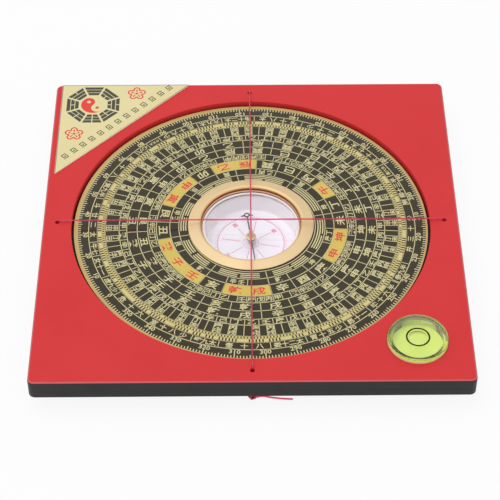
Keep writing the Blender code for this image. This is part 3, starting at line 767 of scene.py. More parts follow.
# Early heaven order from bearing 0 on; each has its bottom, middle and top line, 1 where it is whole
trigrams = ((0, 0, 0), (1, 0, 0), (1, 0, 1), (1, 1, 0), (1, 1, 1), (0, 1, 1), (0, 1, 0), (0, 0, 1))
directionStep = 15   # degrees for each of the 24 directions
branchStep = 30
trigramStep = 45


# The angle of a bearing on the dial, counted clockwise, from +X in radians
def turnOf(bearing):
    return np.radians(dial["bearingToTheRight"] - bearing)


# Characters of Blender's own font as closed slabs, one em high, centred on their own box, from z 0 to 1
def loadGlyphs(texts, boldness):
    mergeShare = 0.0004
    glyphs = {}
    objects = {}
    for text in sorted(texts):
        curve = bpy.data.curves.new("print", "FONT")
        curve.body = text
        curve.extrude = 0.5
        curve.offset = boldness
        curve.resolution_u = 2
        objects[text] = bpy.data.objects.new("print", curve)
        bpy.context.scene.collection.objects.link(objects[text])
    shown = bpy.context.evaluated_depsgraph_get()
    for text, thing in objects.items():
        mesh = bpy.data.meshes.new_from_object(thing.evaluated_get(shown))
        work = bmesh.new()
        work.from_mesh(mesh)
        bmesh.ops.remove_doubles(work, verts=work.verts, dist=mergeShare)
        bmesh.ops.recalc_face_normals(work, faces=work.faces)
        work.to_mesh(mesh)
        work.free()
        mesh.calc_loop_triangles()
        verts = np.empty(len(mesh.vertices) * 3)
        mesh.vertices.foreach_get("co", verts)
        faces = np.empty(len(mesh.loop_triangles) * 3, np.int32)
        mesh.loop_triangles.foreach_get("vertices", faces)
        verts = verts.reshape(-1, 3)
        verts -= (verts.min(axis=0) + verts.max(axis=0)) / 2
        verts[:, 2] += 0.5
        glyphs[text] = (verts, faces.reshape(-1, 3).tolist())
        curve = thing.data
        bpy.data.objects.remove(thing)
        bpy.data.curves.remove(curve)
        bpy.data.meshes.remove(mesh)
    return glyphs


# A character on the dial, its top towards the middle:
# place + size (x · right + y · inwards), with right and inwards turned to the bearing
def printGlyph(text, bearing, distance, size, bottom, top, stretch=1.0):
    verts, faces = glyphs[text]
    outwards = direction(turnOf(bearing))
    right = leftOf(outwards)
    flat = outwards * distance + size * (verts[:, :1] * stretch * right - verts[:, 1:2] * outwards)
    height = bottom + verts[:, 2:] * (top - bottom)
    return np.hstack([flat, height]), faces


# The middle of a ring: half of its inner and outer radius together
def ringMiddle(ring):
    return (ring[0] + ring[1]) / 2


# The depth of a ring: its outer radius less its inner one
def ringDepth(ring):
    return ring[1] - ring[0]


# A character of a ring, in the middle of it and of its full size unless told otherwise
def character(text, bearing, ring, layer, distance=None, size=None):
    fullSize, stretch = dial["type"][ring]
    spot = distance or ringMiddle(dial[ring])
    return printGlyph(text, bearing, spot, size or fullSize, *layer, stretch)


# Circles between the rings, and between their cells bars at the bearings first + k · step. No bar parts two
# cells of one gold run.
def ringLines(dial, ink):
    rings = ("mansions", "band", "pairs", "stems", "heaven", "human", "calendar", "mountains", "corners")
    divider = dial["dividerWidth"]
    distances = [*(dial[ring][0] for ring in rings), dial["mansions"][1], dial["innerLine"]]
    lines = [hoop(distance, dial["lineWidth"], *ink) for distance in distances]
    for ring, (first, step) in dial["dividers"].items():
        lines.append(radialBars(np.arange(first, 360, step), *dial[ring], divider, *ink))
    plain = [
        directionStep * (k + 0.5) for k in range(24)
        if not (mountains[k] in redMountains and mountains[(k + 1) % 24] in redMountains)
    ]
    lines.append(radialBars(plain, *dial["mountains"], divider, *ink))
    between = trigramStep * (np.arange(8) + 0.5)
    lines.append(radialBars(between, dial["innerLine"], dial["corners"][0], divider, *ink))
    return lines


# The rim: its outside follows the plate and its inside follows the print
def rimHoop(dial, ink, offCentre):
    verts, faces = hoop(ringMiddle(dial["rim"]), ringDepth(dial["rim"]), *ink, steps=360)
    verts.reshape(-1, 4, 3)[:, [1, 2]] -= offCentre
    return [(verts, faces)]


# A tick at every degree, longer at every fifth and longest at every tenth
def degreeTicks(dial, ink):
    degrees = np.arange(360)
    ticks = dial["ticks"]
    inner = np.where(degrees % 10 == 0, ticks[10], np.where(degrees % 5 == 0, ticks[5], ticks[1]))
    return [radialBars(degrees, inner, dial["rim"][0], dial["tickWidth"], *ink)]


# The 28 mansions, named from left to right at the front: days · 360 / 365.25 is the width in degrees.
# The characters of a narrow one are smaller and closer together.
def mansionPrint(dial, ink):
    parts = []
    dividers = []
    bearing = mansionStart
    place = ringMiddle(dial["mansions"])
    fullSize = dial["type"]["mansions"][0]
    for title, width in mansionNames:
        width *= 360 / yearDays
        dividers.append(bearing)
        count = max(len(title), 1)
        pitch = min(dial["mansionPitch"], dial["mansionFillShare"] * width / count - dial["mansionMargin"])
        fitting = dial["mansionSizeShare"] * math.radians(pitch) * place
        size = min(fullSize, fitting) if count > 1 else fullSize
        for index, name in enumerate(title):
            spot = bearing - width / 2 - (index - (count - 1) / 2) * pitch
            parts.append(character(name, spot, "mansions", ink, size=size))
        bearing -= width
    return parts + [radialBars(dividers, *dial["mansions"], dial["dividerWidth"], *ink)]


# On the gold band: an outer row of black bars in runs, a thin line and an inner row of small squares
def bandMarks(dial, ink):
    chance = np.random.default_rng(24)
    pitch = dial["bandPitch"]
    bearing, lastRun = dial["bandRuns"]
    bearings = []
    while bearing < lastRun:
        count = chance.integers(3, 8)
        bearings.append(bearing + pitch * np.arange(count))
        bearing += pitch * (count + chance.integers(1, 4))
    squares = np.arange(0, 360, pitch)
    squares = squares[chance.random(len(squares)) < dial["bandSquareShare"]]
    return [
        radialBars(np.concatenate(bearings), *dial["bandBars"], dial["bandMark"], *ink),
        hoop(dial["bandLine"], dial["bandLineWidth"], *ink, steps=360),
        radialBars(squares, *dial["bandSquares"], dial["bandMark"], *ink),
    ]


# Stem and branch pairs on either side of each of the 24 directions
def pairNames(dial, ink):
    parts = []
    for k in range(24):
        branch = k // 2
        for stem, side in zip(pairStems[branch % 2], (-1, 1)):
            for name, share in zip((stem, branches[branch]), dial["pairShares"]):
                distance = dial["pairs"][0] + ringDepth(dial["pairs"]) * share
                spot = directionStep * k + side * dial["pairShift"]
                parts.append(character(name, spot, "pairs", ink, distance))
    return parts


# One stem in each of 60 cells, five to a branch
def stemNames(dial, ink):
    step = dial["dividers"]["stems"][1]
    return [
        character(stemGroups[(cell // 5) % 2][cell % 5], dial["stemStart"] + step * cell, "stems", ink)
        for cell in range(60)
    ]


# Those of the 24 directions that are asked for, each so many cells past its own place
def directionNames(wanted, ring, ink, cells=0.0):
    return [
        character(name, directionStep * (k + cells), ring, ink)
        for k, name in enumerate(mountains) if name in wanted
    ]


# Gold cells behind the red names, from half a cell before the first of a run to half a cell after its last
def mountainCells(dial, ink):
    parts = []
    inner, outer = dial["mountains"]
    inset = dial["cellInset"]
    for first, last in redRuns:
        start = directionStep * (mountains.index(first) - 0.5)
        end = directionStep * (mountains.index(last) + 0.5)
        start -= 360 if start > end else 0
        parts.append(sectors(start, end, inner + inset, outer - inset, *ink))
    return parts


# One or two small names at some of the directions, spread evenly about the bearing
def cornerPrint(dial, ink):
    parts = []
    for k, name in enumerate(mountains):
        small = cornerNames.get(name, "")
        for index, letter in enumerate(small):
            spot = directionStep * k - (index - (len(small) - 1) / 2) * dial["cornerPitch"]
            parts.append(character(letter, spot, "corners", ink))
    return parts


# Five stems round each branch in the calendar ring, with an empty cell between the groups
def calendarNames(dial, ink):
    step = dial["dividers"]["calendar"][1]
    return [
        character(stem, branchStep * branch + (index - 2) * step, "calendar", ink)
        for branch in range(12) for index, stem in enumerate(stemGroups[branch % 2])
    ]


# Eight trigrams with their top line nearest the middle; a broken line has a gap at its bearing
def trigramPrint(dial, ink):
    bars = []
    edge = dial["trigramBarWidth"] / 2
    reach = dial["trigramSpan"] / 2
    gap = dial["trigramGap"] / 2
    for k, linesOf in enumerate(trigrams):
        middle = trigramStep * k
        for whole, distance in zip(linesOf[::-1], dial["trigramBars"]):
            spans = [(-reach, reach)] if whole else [(-reach, -gap), (gap, reach)]
            for start, end in spans:
                bars.append(sectors(middle + start, middle + end, distance - edge, distance + edge, *ink))
    return bars


# A turned plate, then print of slabs that lie between two heights
def makeDial(dial):
    enamel = patchyFinish("black enamel", dial["enamel"], {
        "Specular IOR Level": 0.38, "Specular Tint": linear("FFE9B8")})
    gold = patchyFinish("gold print", dial["gold"])
    deepGold = patchyFinish("filled gold print", dial["deepGold"])
    paleGold = patchyFinish("pale gold band", dial["paleGold"])
    rimGold = patchyFinish("dull gold rim", dial["rimGold"])
    red = patchyFinish("red printing ink", dial["red"])
    black = patchyFinish("black printing ink", dial["black"], {"Specular IOR Level": 0.3})

    low, high = spanOf("dial_plate")
    profile = boxSection(dial["boreRadius"], radiusOf("dial_plate"), low, high)
    plate = turned("dialPlate", roundCorners(profile, dial["edgeRound"]), enamel, steps=256)
    settle(plate, "dial", "dial_enamel", "dial_plate")

    inkTop = high + dial["inkHeight"]
    ink = (high - dial["inkSink"], inkTop)
    overInk = (inkTop - dial["inkSink"] / 2, inkTop + dial["inkHeight"] / 2)
    offCentre = np.array([*dial["printShift"], 0])
    values = [
        character(str(value), value, "numbers", ink, dial["numbers"]) for value in range(0, 360, 10)
    ]
    markBand = [hoop(ringMiddle(dial["band"]), ringDepth(dial["band"]), *ink, steps=360)]
    plainMountains = set(mountains) - set(redMountains)
    for name, parts, material in (
            ("ringLines", ringLines(dial, ink), gold),
            ("dialRim", rimHoop(dial, ink, offCentre), rimGold),
            ("degreeTicks", degreeTicks(dial, ink), gold),
            ("degreeNumbers", values, gold),
            ("mansionNames", mansionPrint(dial, ink), gold),
            ("markBand", markBand, paleGold),
            ("bandMarks", bandMarks(dial, overInk), black),
            ("pairNames", pairNames(dial, ink), gold),
            ("stemNames", stemNames(dial, ink), gold),
            ("heavenNames", directionNames(mountains, "heaven", ink, 0.5), gold),
            ("humanNames", directionNames(mountains, "human", ink, -0.5), gold),
            ("mountainNames", directionNames(plainMountains, "mountains", ink), gold),
            ("mountainCells", mountainCells(dial, ink), deepGold),
            ("mountainRedNames", directionNames(redMountains, "mountains", overInk), red),
            ("cornerNames", cornerPrint(dial, ink), gold),
            ("calendarNames", calendarNames(dial, ink), gold),
            ("trigramBars", trigramPrint(dial, ink), gold)):
        moved = [(verts + offCentre, faces) for verts, faces in parts]
        settle(joinParts(name, moved, material), "dial", "dial_enamel")


titles = [title for title, width in mansionNames]
characters = "".join([mountains, branches, *stemGroups, *cornerNames.values(), *titles, compassPoints])
glyphs = loadGlyphs({*characters, *(str(value) for value in range(0, 360, 10))}, boldness=0.02)
makeDial(dial)
print("dial printed")

turntable = {
    # black moulded plastic, seen only in the gap round the dial
    "plastic": {"dark": "151515", "light": "1D1D1D", "patch": 10 * mm, "grain": 0.3 * mm,
                "depth": 0.006 * mm, "gloss": (0.45, 0.55)},
    # cut nylon sheet: milky and slightly waxy
    "nylon": {"dark": "DAD8CE", "light": "E8E6DC", "patch": 8 * mm, "grain": 0.2 * mm, "depth": 0.004 * mm,
              "gloss": (0.4, 0.5)},
}


# Gives a CAD node, whose shape is right as it is, its finish
def dressNode(node, material):
    nodes[node].data.materials.clear()
    nodes[node].data.materials.append(material)


dressNode("turntable_disc", patchyFinish("moulded black plastic", turntable["plastic"]))
dressNode("thrust_washer", patchyFinish("nylon sheet", turntable["nylon"], {"Subsurface Weight": 0.1}))


# Capsule: a white cup with a printed card, closed by a glass under the brass bezel

capsule = {
    "outerRadius": 18.0 * mm,
    "cornerRound": 1.6 * mm,
    "rimInner": 16.9 * mm,
    "ledge": 8.55 * mm,
    "roomTop": 16.0 * mm,
    "roomFloor": 14.6 * mm,
    "floor": 1.9 * mm,
    "roomRound": 1.1 * mm,
    "cardGap": 0.6 * mm,
    "cardRound": 0.05 * mm,
    "gasketRound": 0.14 * mm,
    "glassRound": 0.15 * mm,
    "inkSink": 0.005 * mm,
    "inkHeight": 0.015 * mm,
    "hairline": 0.17 * mm,
    "fineShare": 0.6,   # the thinnest lines against a hairline
    "boldShare": 1.2,
    "circle": 11.0 * mm,
    "innerCircle": 2.6 * mm,
    "rays": ((0, 3.4 * mm, 7.9 * mm), (45, 3.4 * mm, 9.7 * mm)),   # first bearing, start and end
    "tickLength": 0.9 * mm,
    "letters": 9.3 * mm,
    "letterSize": 1.9 * mm,
    # glossy white ABS, moulded: bright, a little violet in the light from the glass
    "white": {"dark": "F4EFF3", "light": "F8F4F7", "patch": 15 * mm, "grain": 1.2 * mm, "depth": 0.002 * mm,
              "gloss": (0.18, 0.25)},
    # coated white card
    "card": {"dark": "E6E1EC", "light": "EFEAF3", "patch": 6 * mm, "grain": 0.08 * mm, "depth": 0.003 * mm,
             "gloss": (0.4, 0.5)},
    # thin red ink, which looks pink because its lines are so fine
    "red": {**softInk, "dark": "D8688A", "light": "E07898", "patch": 2 * mm},
    # soft ivory ring that seals the glass
    "gasket": {"dark": "FAF0EC", "light": "FFF8F4", "patch": 4 * mm, "grain": 0.3 * mm, "depth": 0.004 * mm,
               "gloss": (0.4, 0.5)},
}


# A turned cup with a rounded corner and a conical room, then its card, sealing ring and glass as discs
def makeCapsule(capsule):
    white = patchyFinish("moulded white plastic", capsule["white"], {"Specular IOR Level": 0.6})
    card = patchyFinish("coated white card", capsule["card"])
    red = patchyFinish("thin red ink", capsule["red"])
    gasket = patchyFinish("ivory sealing ring", capsule["gasket"])
    bottom, top = spanOf("capsule_cup")
    outer = capsule["outerRadius"]
    corner = (outer - capsule["cornerRound"], bottom + capsule["cornerRound"])
    ledge = capsule["ledge"]
    floor = capsule["floor"]
    roomTop = capsule["roomTop"]
    room = [(0, top), (roomTop, ledge), (capsule["roomFloor"], floor), (0, floor)]
    profile = np.vstack([
        [(0, bottom)],
        arc(corner, capsule["cornerRound"], -90, 0),
        [(outer, top), (capsule["rimInner"], top), (capsule["rimInner"], ledge), (roomTop, ledge)],
        someCorners(room, 2, 2, capsule["roomRound"], 8),
        [(0, floor)],
    ])
    settle(turned("capsuleCup", profile, white), "dial", "white_plastic", "capsule_cup")

    low, high = spanOf("capsule_card")
    profile = boxSection(0, radiusOf("capsule_card") - capsule["cardGap"], low, high)
    disc = turned("capsuleCard", roundCorners(profile, capsule["cardRound"]), card)
    settle(disc, "dial", "card_paper", "capsule_card")

    # A star of rays, two circles, a tick every 5 degrees and a letter at each quarter
    ink = (high - capsule["inkSink"], high + capsule["inkHeight"])
    hair = capsule["hairline"]
    fine = hair * capsule["fineShare"]
    circle = capsule["circle"]
    parts = [
        hoop(circle, hair * capsule["boldShare"], *ink),
        hoop(capsule["innerCircle"], fine, *ink, 64),
        *(
            radialBars(np.arange(first, 360, 90), start, end, hair, *ink)
            for first, start, end in capsule["rays"]
        ),
        radialBars(np.arange(0, 360, 5), circle, circle + capsule["tickLength"], fine, *ink),
    ]
    for index, name in enumerate(compassPoints):
        parts.append(printGlyph(name, 90 * index, capsule["letters"], capsule["letterSize"], *ink))
    settle(joinParts("cardPrint", parts, red), "dial", "card_paper")

    profile = boxSection(roomTop, radiusOf("glass_gasket"), *spanOf("glass_gasket"))
    ring = turned("glassGasket", roundCorners(profile, capsule["gasketRound"]), gasket)
    settle(ring, "dial", "gasket_rubber", "glass_gasket")

    profile = boxSection(0, radiusOf("capsule_glass"), *spanOf("capsule_glass"))
    glass = clearFinish("clear glass", "FFFFFF", 1.5)
    pane = turned("capsuleGlass", roundCorners(profile, capsule["glassRound"]), glass)
    settle(pane, "dial", "capsule_glass", "capsule_glass")


makeCapsule(capsule)

bezel = {
    "boreRadius": 17.1 * mm,
    "edgeHeight": 0.3 * mm,
    "edgeRise": 1.25,   # how much higher the slope begins than the edge
    "edgeRound": 0.2 * mm,
    "rollStart": 78,
    "skirtTaper": 0.3 * mm,
    "glueGap": 0.05 * mm,
    # spun brass, polished and lacquered: warm, with fine turning rings
    "brass": {"dark": "D6BC92", "light": "E3CFA8", "patch": 9 * mm, "mottle": (4.0, 0.5),
              "groove": 0.22 * mm, "depth": 0.002 * mm, "relief": 0.25, "gloss": (0.56, 0.68)},
    # painted shade and reflection in the bore, from the bottom up: dark red-brown shade, a pale band
    # standing for the white sealing ring reflected in it, then shade again rising into the polish
    "bore": (
        (10.15 * mm, "74301E"), (10.4 * mm, "F8D4C0"), (10.72 * mm, "F2C6A8"), (10.95 * mm, "74341C"),
        (11.2 * mm, "8A4626"), (11.55 * mm, "C4925C"), (11.9 * mm, "E4C48F"),
    ),
    "boreWidth": 0.9 * mm,
    "boreClearShare": 0.5,   # of that width, where the polish begins
    # zinc-plated spring steel ring under the base
    "steel": {"dark": "A9AAAC", "light": "C3C4C6", "patch": 6 * mm, "mottle": (4.0, 0.5),
              "groove": 0.15 * mm, "depth": 0.003 * mm, "relief": 0.25, "gloss": (0.25, 0.35)},
    "ringGap": 0.1 * mm,
    "ringRound": 0.18 * mm,
}


# The brass with painted shade and a painted reflection in its bore: each stop fades from the colour below it
# into its own colour at its height, and from the bore outwards the painted colours fade into the polish
def stainBore(brass, bezel):
    ring = brass.copy()
    ring.name = "spun brass with painted shade in the bore"
    tree = ring.node_tree
    shader = tree.nodes["Principled BSDF"]
    tone = shader.inputs["Base Color"].links[0].from_socket
    place = addNode(tree, "ShaderNodeTexCoord").outputs["Object"]
    height = addNode(tree, "ShaderNodeSeparateXYZ", {}, {"Vector": place}).outputs["Z"]
    stops = bezel["bore"]
    boreShade = linear(stops[0][1])
    for stop, (above, upper) in zip(stops, stops[1:]):
        rise = addNode(tree, "ShaderNodeMapRange", {"interpolation_type": "SMOOTHSTEP"}, {
            "Value": height, "From Min": stop[0], "From Max": above})
        boreShade = addNode(tree, "ShaderNodeMixRGB", {}, {
            "Fac": rise.outputs["Result"], "Color1": boreShade, "Color2": linear(upper)}).outputs["Color"]
    flat = addNode(tree, "ShaderNodeVectorMath", {"operation": "MULTIPLY"}, {0: place, 1: (1, 1, 0)})
    across = addNode(tree, "ShaderNodeVectorMath", {"operation": "LENGTH"}, {0: flat.outputs["Vector"]})
    bore = bezel["boreRadius"]
    width = bezel["boreWidth"]
    inner = addNode(tree, "ShaderNodeMapRange", {"interpolation_type": "SMOOTHSTEP"}, {
        "Value": across.outputs["Value"],
        "From Min": bore + width * bezel["boreClearShare"], "From Max": bore + width})
    pick = addNode(tree, "ShaderNodeMixRGB", {}, {
        "Fac": inner.outputs["Result"], "Color1": boreShade, "Color2": tone})
    tree.links.new(pick.outputs["Color"], shader.inputs["Base Color"])
    return ring


# The rim rises slowly inwards, rolls over in an arc and drops into the bore
def makeBezel(bezel, brass):
    seat = topOf("dial_plate") + bezel["glueGap"]
    outer = radiusOf("bezel_ring")
    bore = bezel["boreRadius"]
    roll = topOf("bezel_ring") - seat
    skirt = bottomOf("bezel_ring")
    cup = capsule["outerRadius"]
    crest = arc((bore + roll, seat), roll, bezel["rollStart"], 180, 20)
    slope = [(cup, seat), (outer, seat), (outer, seat + bezel["edgeHeight"] * bezel["edgeRise"]), crest[0]]
    profile = np.vstack([
        [(cup, seat)],
        someCorners(slope, 1, 2, bezel["edgeRound"], 6),
        crest,
        [(bore - bezel["skirtTaper"], skirt), (cup, skirt)],
    ])
    # the bore's dark stops are painted shade, and its pale band is a painted reflection of the sealing ring
    ring = turned("brassBezel", profile, stainBore(brass, bezel), steps=256)
    settle(ring, "dial", "brass", "bezel_ring")


# A rounded ring just outside the cup
def makeRetainingRing(bezel, steel):
    inner = capsule["outerRadius"] + bezel["ringGap"]
    profile = boxSection(inner, radiusOf("retaining_ring"), *spanOf("retaining_ring"))
    ring = turned("retainingRing", roundCorners(profile, bezel["ringRound"]), steel)
    settle(ring, "dial", "steel", "retaining_ring")


brass = spunMetal("spun brass", bezel["brass"])
steel = spunMetal("zinc-plated steel", bezel["steel"])
makeBezel(bezel, brass)
makeRetainingRing(bezel, steel)
print("capsule and bezel made")


# Needle: a thin blued blade with an eye and horns at one end, a brass cap and a steel pin under it

needle = {
    "bearing": 97.3,   # degrees from +X to the eye
    "reach": 12.0 * mm,
    "halfWidth": 0.22 * mm,
    "tipHalfWidth": 0.12 * mm,
    "hubRadius": 1.6 * mm,
    "eyeRadius": 0.95 * mm,
    "eyeBore": 0.62 * mm,
    "eyeSetback": 1.6 * mm,
    "hornReach": 2.15 * mm,
    "hornSweep": 0.5 * mm,
    "hornBend": (0.12 * mm, -0.6 * mm),   # from its tip to the corner that its back edge is drawn towards
    "hornWidth": 0.28 * mm,
    "hornFeet": (128, 84),   # where a horn meets the eye, in degrees from the blade's direction
    "stemHole": 1.0 * mm,
    "capGap": 0.05 * mm,
    "bellRim": 0.35 * mm,
    "bellShoulder": 1.9 * mm,
    "bellEdge": 0.08 * mm,
    "knobRadius": 0.75 * mm,
    "stemRadius": 0.9 * mm,
    "socketRadius": 0.55 * mm,
    "socketDepth": 1.0 * mm,
    "pinRadius": 0.35 * mm,
    "pinTip": 0.9 * mm,
    "pinBaseRadius": 0.75 * mm,
    "pinBaseHeight": 0.3 * mm,
    "pinRound": 0.08 * mm,
    # blued spring steel: nearly black with a cold sheen
    "blued": {"dark": "1B1C22", "light": "282A33", "patch": 2 * mm, "grain": 0.1 * mm, "depth": 0.002 * mm,
              "gloss": (0.25, 0.35)},
}


# The bell of the cap, radius = bell - (bell - knob) sin t and height = rim + rise (1 - cos t),
# then a round knob
def capProfile(needle, low, seat, high):
    bell = radiusOf("needle_cap")
    knob = needle["knobRadius"]
    rim = seat + needle["bellRim"]
    rise = needle["bellShoulder"] - needle["bellRim"]
    t = np.linspace(0, np.pi / 2, 15)
    flare = np.stack([bell - (bell - knob) * np.sin(t), rim + rise * (1 - np.cos(t))], axis=1)
    crown = arc((0, high - knob), knob, 0, 90, 8)
    crown[-1, 0] = 0
    stem = needle["stemRadius"]
    socket = needle["socketRadius"]
    edge = needle["bellEdge"]
    roof = low + needle["socketDepth"]
    return np.vstack([
        [(socket, low), (stem, low), (stem, seat), (bell - edge, seat), (bell, seat + edge)],
        flare,
        crown,
        [(0, roof), (socket, roof)],
    ])


# Half of the blade's outline above the x axis, mirrored for the other half and turned to its bearing
def bladeOutline(needle):
    half = needle["halfWidth"]
    reach = needle["reach"]
    hub = needle["hubRadius"]
    ring = needle["eyeRadius"]
    eye = reach - needle["eyeSetback"]
    lift = math.degrees(math.asin(half / hub))
    enter = 180 - math.degrees(math.asin(half / ring))
    backFoot, frontFoot = needle["hornFeet"]
    tip = np.array([[eye - needle["hornSweep"], needle["hornReach"]]])
    share = np.linspace(0, 1, 7)[:, None]
    ringBack = arc((eye, 0), ring, enter, backFoot, 6)
    ringFront = arc((eye, 0), ring, frontFoot, 0, 10)
    backBend = tip + needle["hornBend"]
    frontBend = backBend + (needle["hornWidth"], 0)
    upper = np.vstack([
        [(-reach, needle["tipHalfWidth"])],
        arc((0, 0), hub, 180 - lift, lift, 16),
        ringBack,
        bentLine(ringBack[-1:], backBend, tip, share)[1:],
        bentLine(tip, frontBend, ringFront[:1], share)[1:],
        ringFront[1:-1],
    ])
    outline = np.vstack([upper, [(eye + ring, 0)], (upper * (1, -1))[::-1]])[::-1]
    along = direction(math.radians(needle["bearing"]))
    return outline @ np.stack([along, leftOf(along)]), eye * along


# The blade is a flat plate with two holes; the cap and the pin are turned about the middle
def makeNeedle(needle):
    low, high = spanOf("needle_blade")
    outline, eyeCentre = bladeOutline(needle)
    edges = [
        {"line": (outline, np.zeros_like(outline))},
        {"line": roundHole((0, 0), needle["stemHole"], 32)},
        {"line": roundHole(eyeCentre, needle["eyeBore"], 32)},
    ]
    blued = patchyFinish("blued steel", needle["blued"], {"Metallic": 0.9})
    settle(makePlate("needleBlade", edges, low, high, blued), "needle", "needle_steel", "needle_blade")

    profile = capProfile(needle, bottomOf("needle_cap"), high + needle["capGap"], topOf("needle_cap"))
    settle(turned("needleCap", profile, brass, steps=64), "needle", "brass", "needle_cap")

    low, high = spanOf("pivot_pin")
    shaft = needle["pinRadius"]
    base = needle["pinBaseRadius"]
    step = low + needle["pinBaseHeight"]
    point = high - needle["pinTip"]
    profile = [(0, low), (base, low), (base, step), (shaft, step), (shaft, point), (0, high)]
    pin = turned("pivotPin", roundCorners(profile, needle["pinRound"]), steel, steps=48)
    settle(pin, "dial", "steel", "pivot_pin")


makeNeedle(needle)
print("needle made")


# Round spirit level, let into the front right corner

level = {
    "wall": 1.55 * mm,
    "floorThickness": 0.25 * mm,
    "lensSeat": 8.85 * mm,
    "overlap": 0.03 * mm,   # clear pieces overlap so that light passes between them as if they touched
    "outerRound": 0.22 * mm,
    "seatRound": 0.04 * mm,   # the corners at the lens are nearly sharp
    "floorRound": 0.1 * mm,
    "bubbleRadius": 3.1 * mm,
    "bubbleRound": 1.25 * mm,
    "bubbleTurn": 78,   # degrees that its side turns through
    "bubbleCrown": 0.12 * mm,
    "circleRadius": 3.67 * mm,
    "circleWidth": 0.55 * mm,
    "circleHeight": 0.03 * mm,
    "circleSink": 0.01 * mm,
    "paintRound": 0.08 * mm,
    "filmWidth": 0.13 * mm,
    "filmTop": 13.3 * mm,
    "filmRise": 0.6 * mm,
    "filmRound": 0.05 * mm,
    "sleeve": (7.3 * mm, 11.7 * mm),
    "sleeveRadius": 10.04 * mm,
    "acrylic": "FFFFFF",
    "acrylicIndex": 1.49,
    "liquid": "FEFFE6",
    "liquidIndex": 1.47,   # a clear oil
    # yellow-green paint under the clear body, with a faint glow added as painted light to make it brighter
    # than a plain paint
    "glow": "C8FF30",
    "paintedGlowStrength": 0.12,
    "paint": {"dark": "E6FA76", "light": "F0FF88", "patch": 4 * mm, "grain": 0.3 * mm, "depth": 0.004 * mm,
              "gloss": (0.4, 0.5)},
    # glue between the level and its hole, seen through the clear wall
    "glue": {"dark": "CDB4AC", "light": "DECAC2", "patch": 4 * mm, "grain": 0.3 * mm, "depth": 0.004 * mm,
             "gloss": (0.6, 0.7)},
    # a film of the same glue up the side, yellowed: it shows as a cream line at the front
    "film": {"dark": "F4E2A4", "light": "FCF0B8", "patch": 4 * mm, "grain": 0.2 * mm, "depth": 0.004 * mm,
             "gloss": (0.3, 0.4)},
    "circle": {**glossyInk, "dark": "0A0C05", "light": "12140B", "gloss": (0.5, 0.6)},
}


# The bubble's hollow from the rim inwards: a round side and a nearly flat underside,
# depth = side's foot - crown (1 - share^2) with share the part of the way from the middle
def bubbleProfile(level, top):
    turn = level["bubbleRound"]
    share = np.linspace(1, 0, 7)[1:]
    side = arc((level["bubbleRadius"] - turn, top), turn, 0, -level["bubbleTurn"], 12)
    under = np.stack([side[-1, 0] * share, side[-1, 1] - level["bubbleCrown"] * (1 - share ** 2)], axis=1)
    return np.vstack([side, under])


# A piece with rounded corners, turned about the level's middle
def levelPiece(name, profile, rounding, material, steps, slot, *replaced):
    piece = turned(name, roundCorners(profile, rounding), material, middleOf("level_body"), steps)
    return settle(piece, "board", slot, *replaced)


# A washer about the level's middle
def levelHoop(name, middle, width, bottom, top, material):
    verts, faces = hoop(middle, width, bottom, top, 96)
    moved = verts + np.array([*middleOf("level_body"), 0])
    settle(joinParts(name, [(moved, faces)], material), "board", "clear_acrylic")


# A film of glue up the side and a sleeve of glue in the hole. Above the panel the film stands higher towards
# the back: z + rise (y - front) / (back - front)
def glueLevel(level, inside):
    outside = radiusOf("level_body") + level["filmWidth"]
    front = middleOf("level_body")[1] - outside
    panelTop = topOf("top_panel")
    foot = level["sleeve"][1]
    profile = [(inside, foot), (outside, foot), (outside, panelTop), (inside, level["filmTop"])]
    film = patchyFinish("yellowed glue film", level["film"])
    collar = levelPiece("levelFilm", profile, level["filmRound"], film, 96, "clear_acrylic")
    points = np.empty(len(collar.data.vertices) * 3)
    collar.data.vertices.foreach_get("co", points)
    points = points.reshape(-1, 3)
    share = (points[:, 1] - front) / (2 * outside)
    points[:, 2] += np.where(points[:, 2] > panelTop, level["filmRise"] * share, 0)
    collar.data.vertices.foreach_set("co", points.ravel())
    glue = patchyFinish("dried glue", level["glue"])
    outer = level["sleeveRadius"]
    levelHoop("levelGlue", (inside + outer) / 2, outer - inside, *level["sleeve"], glue)


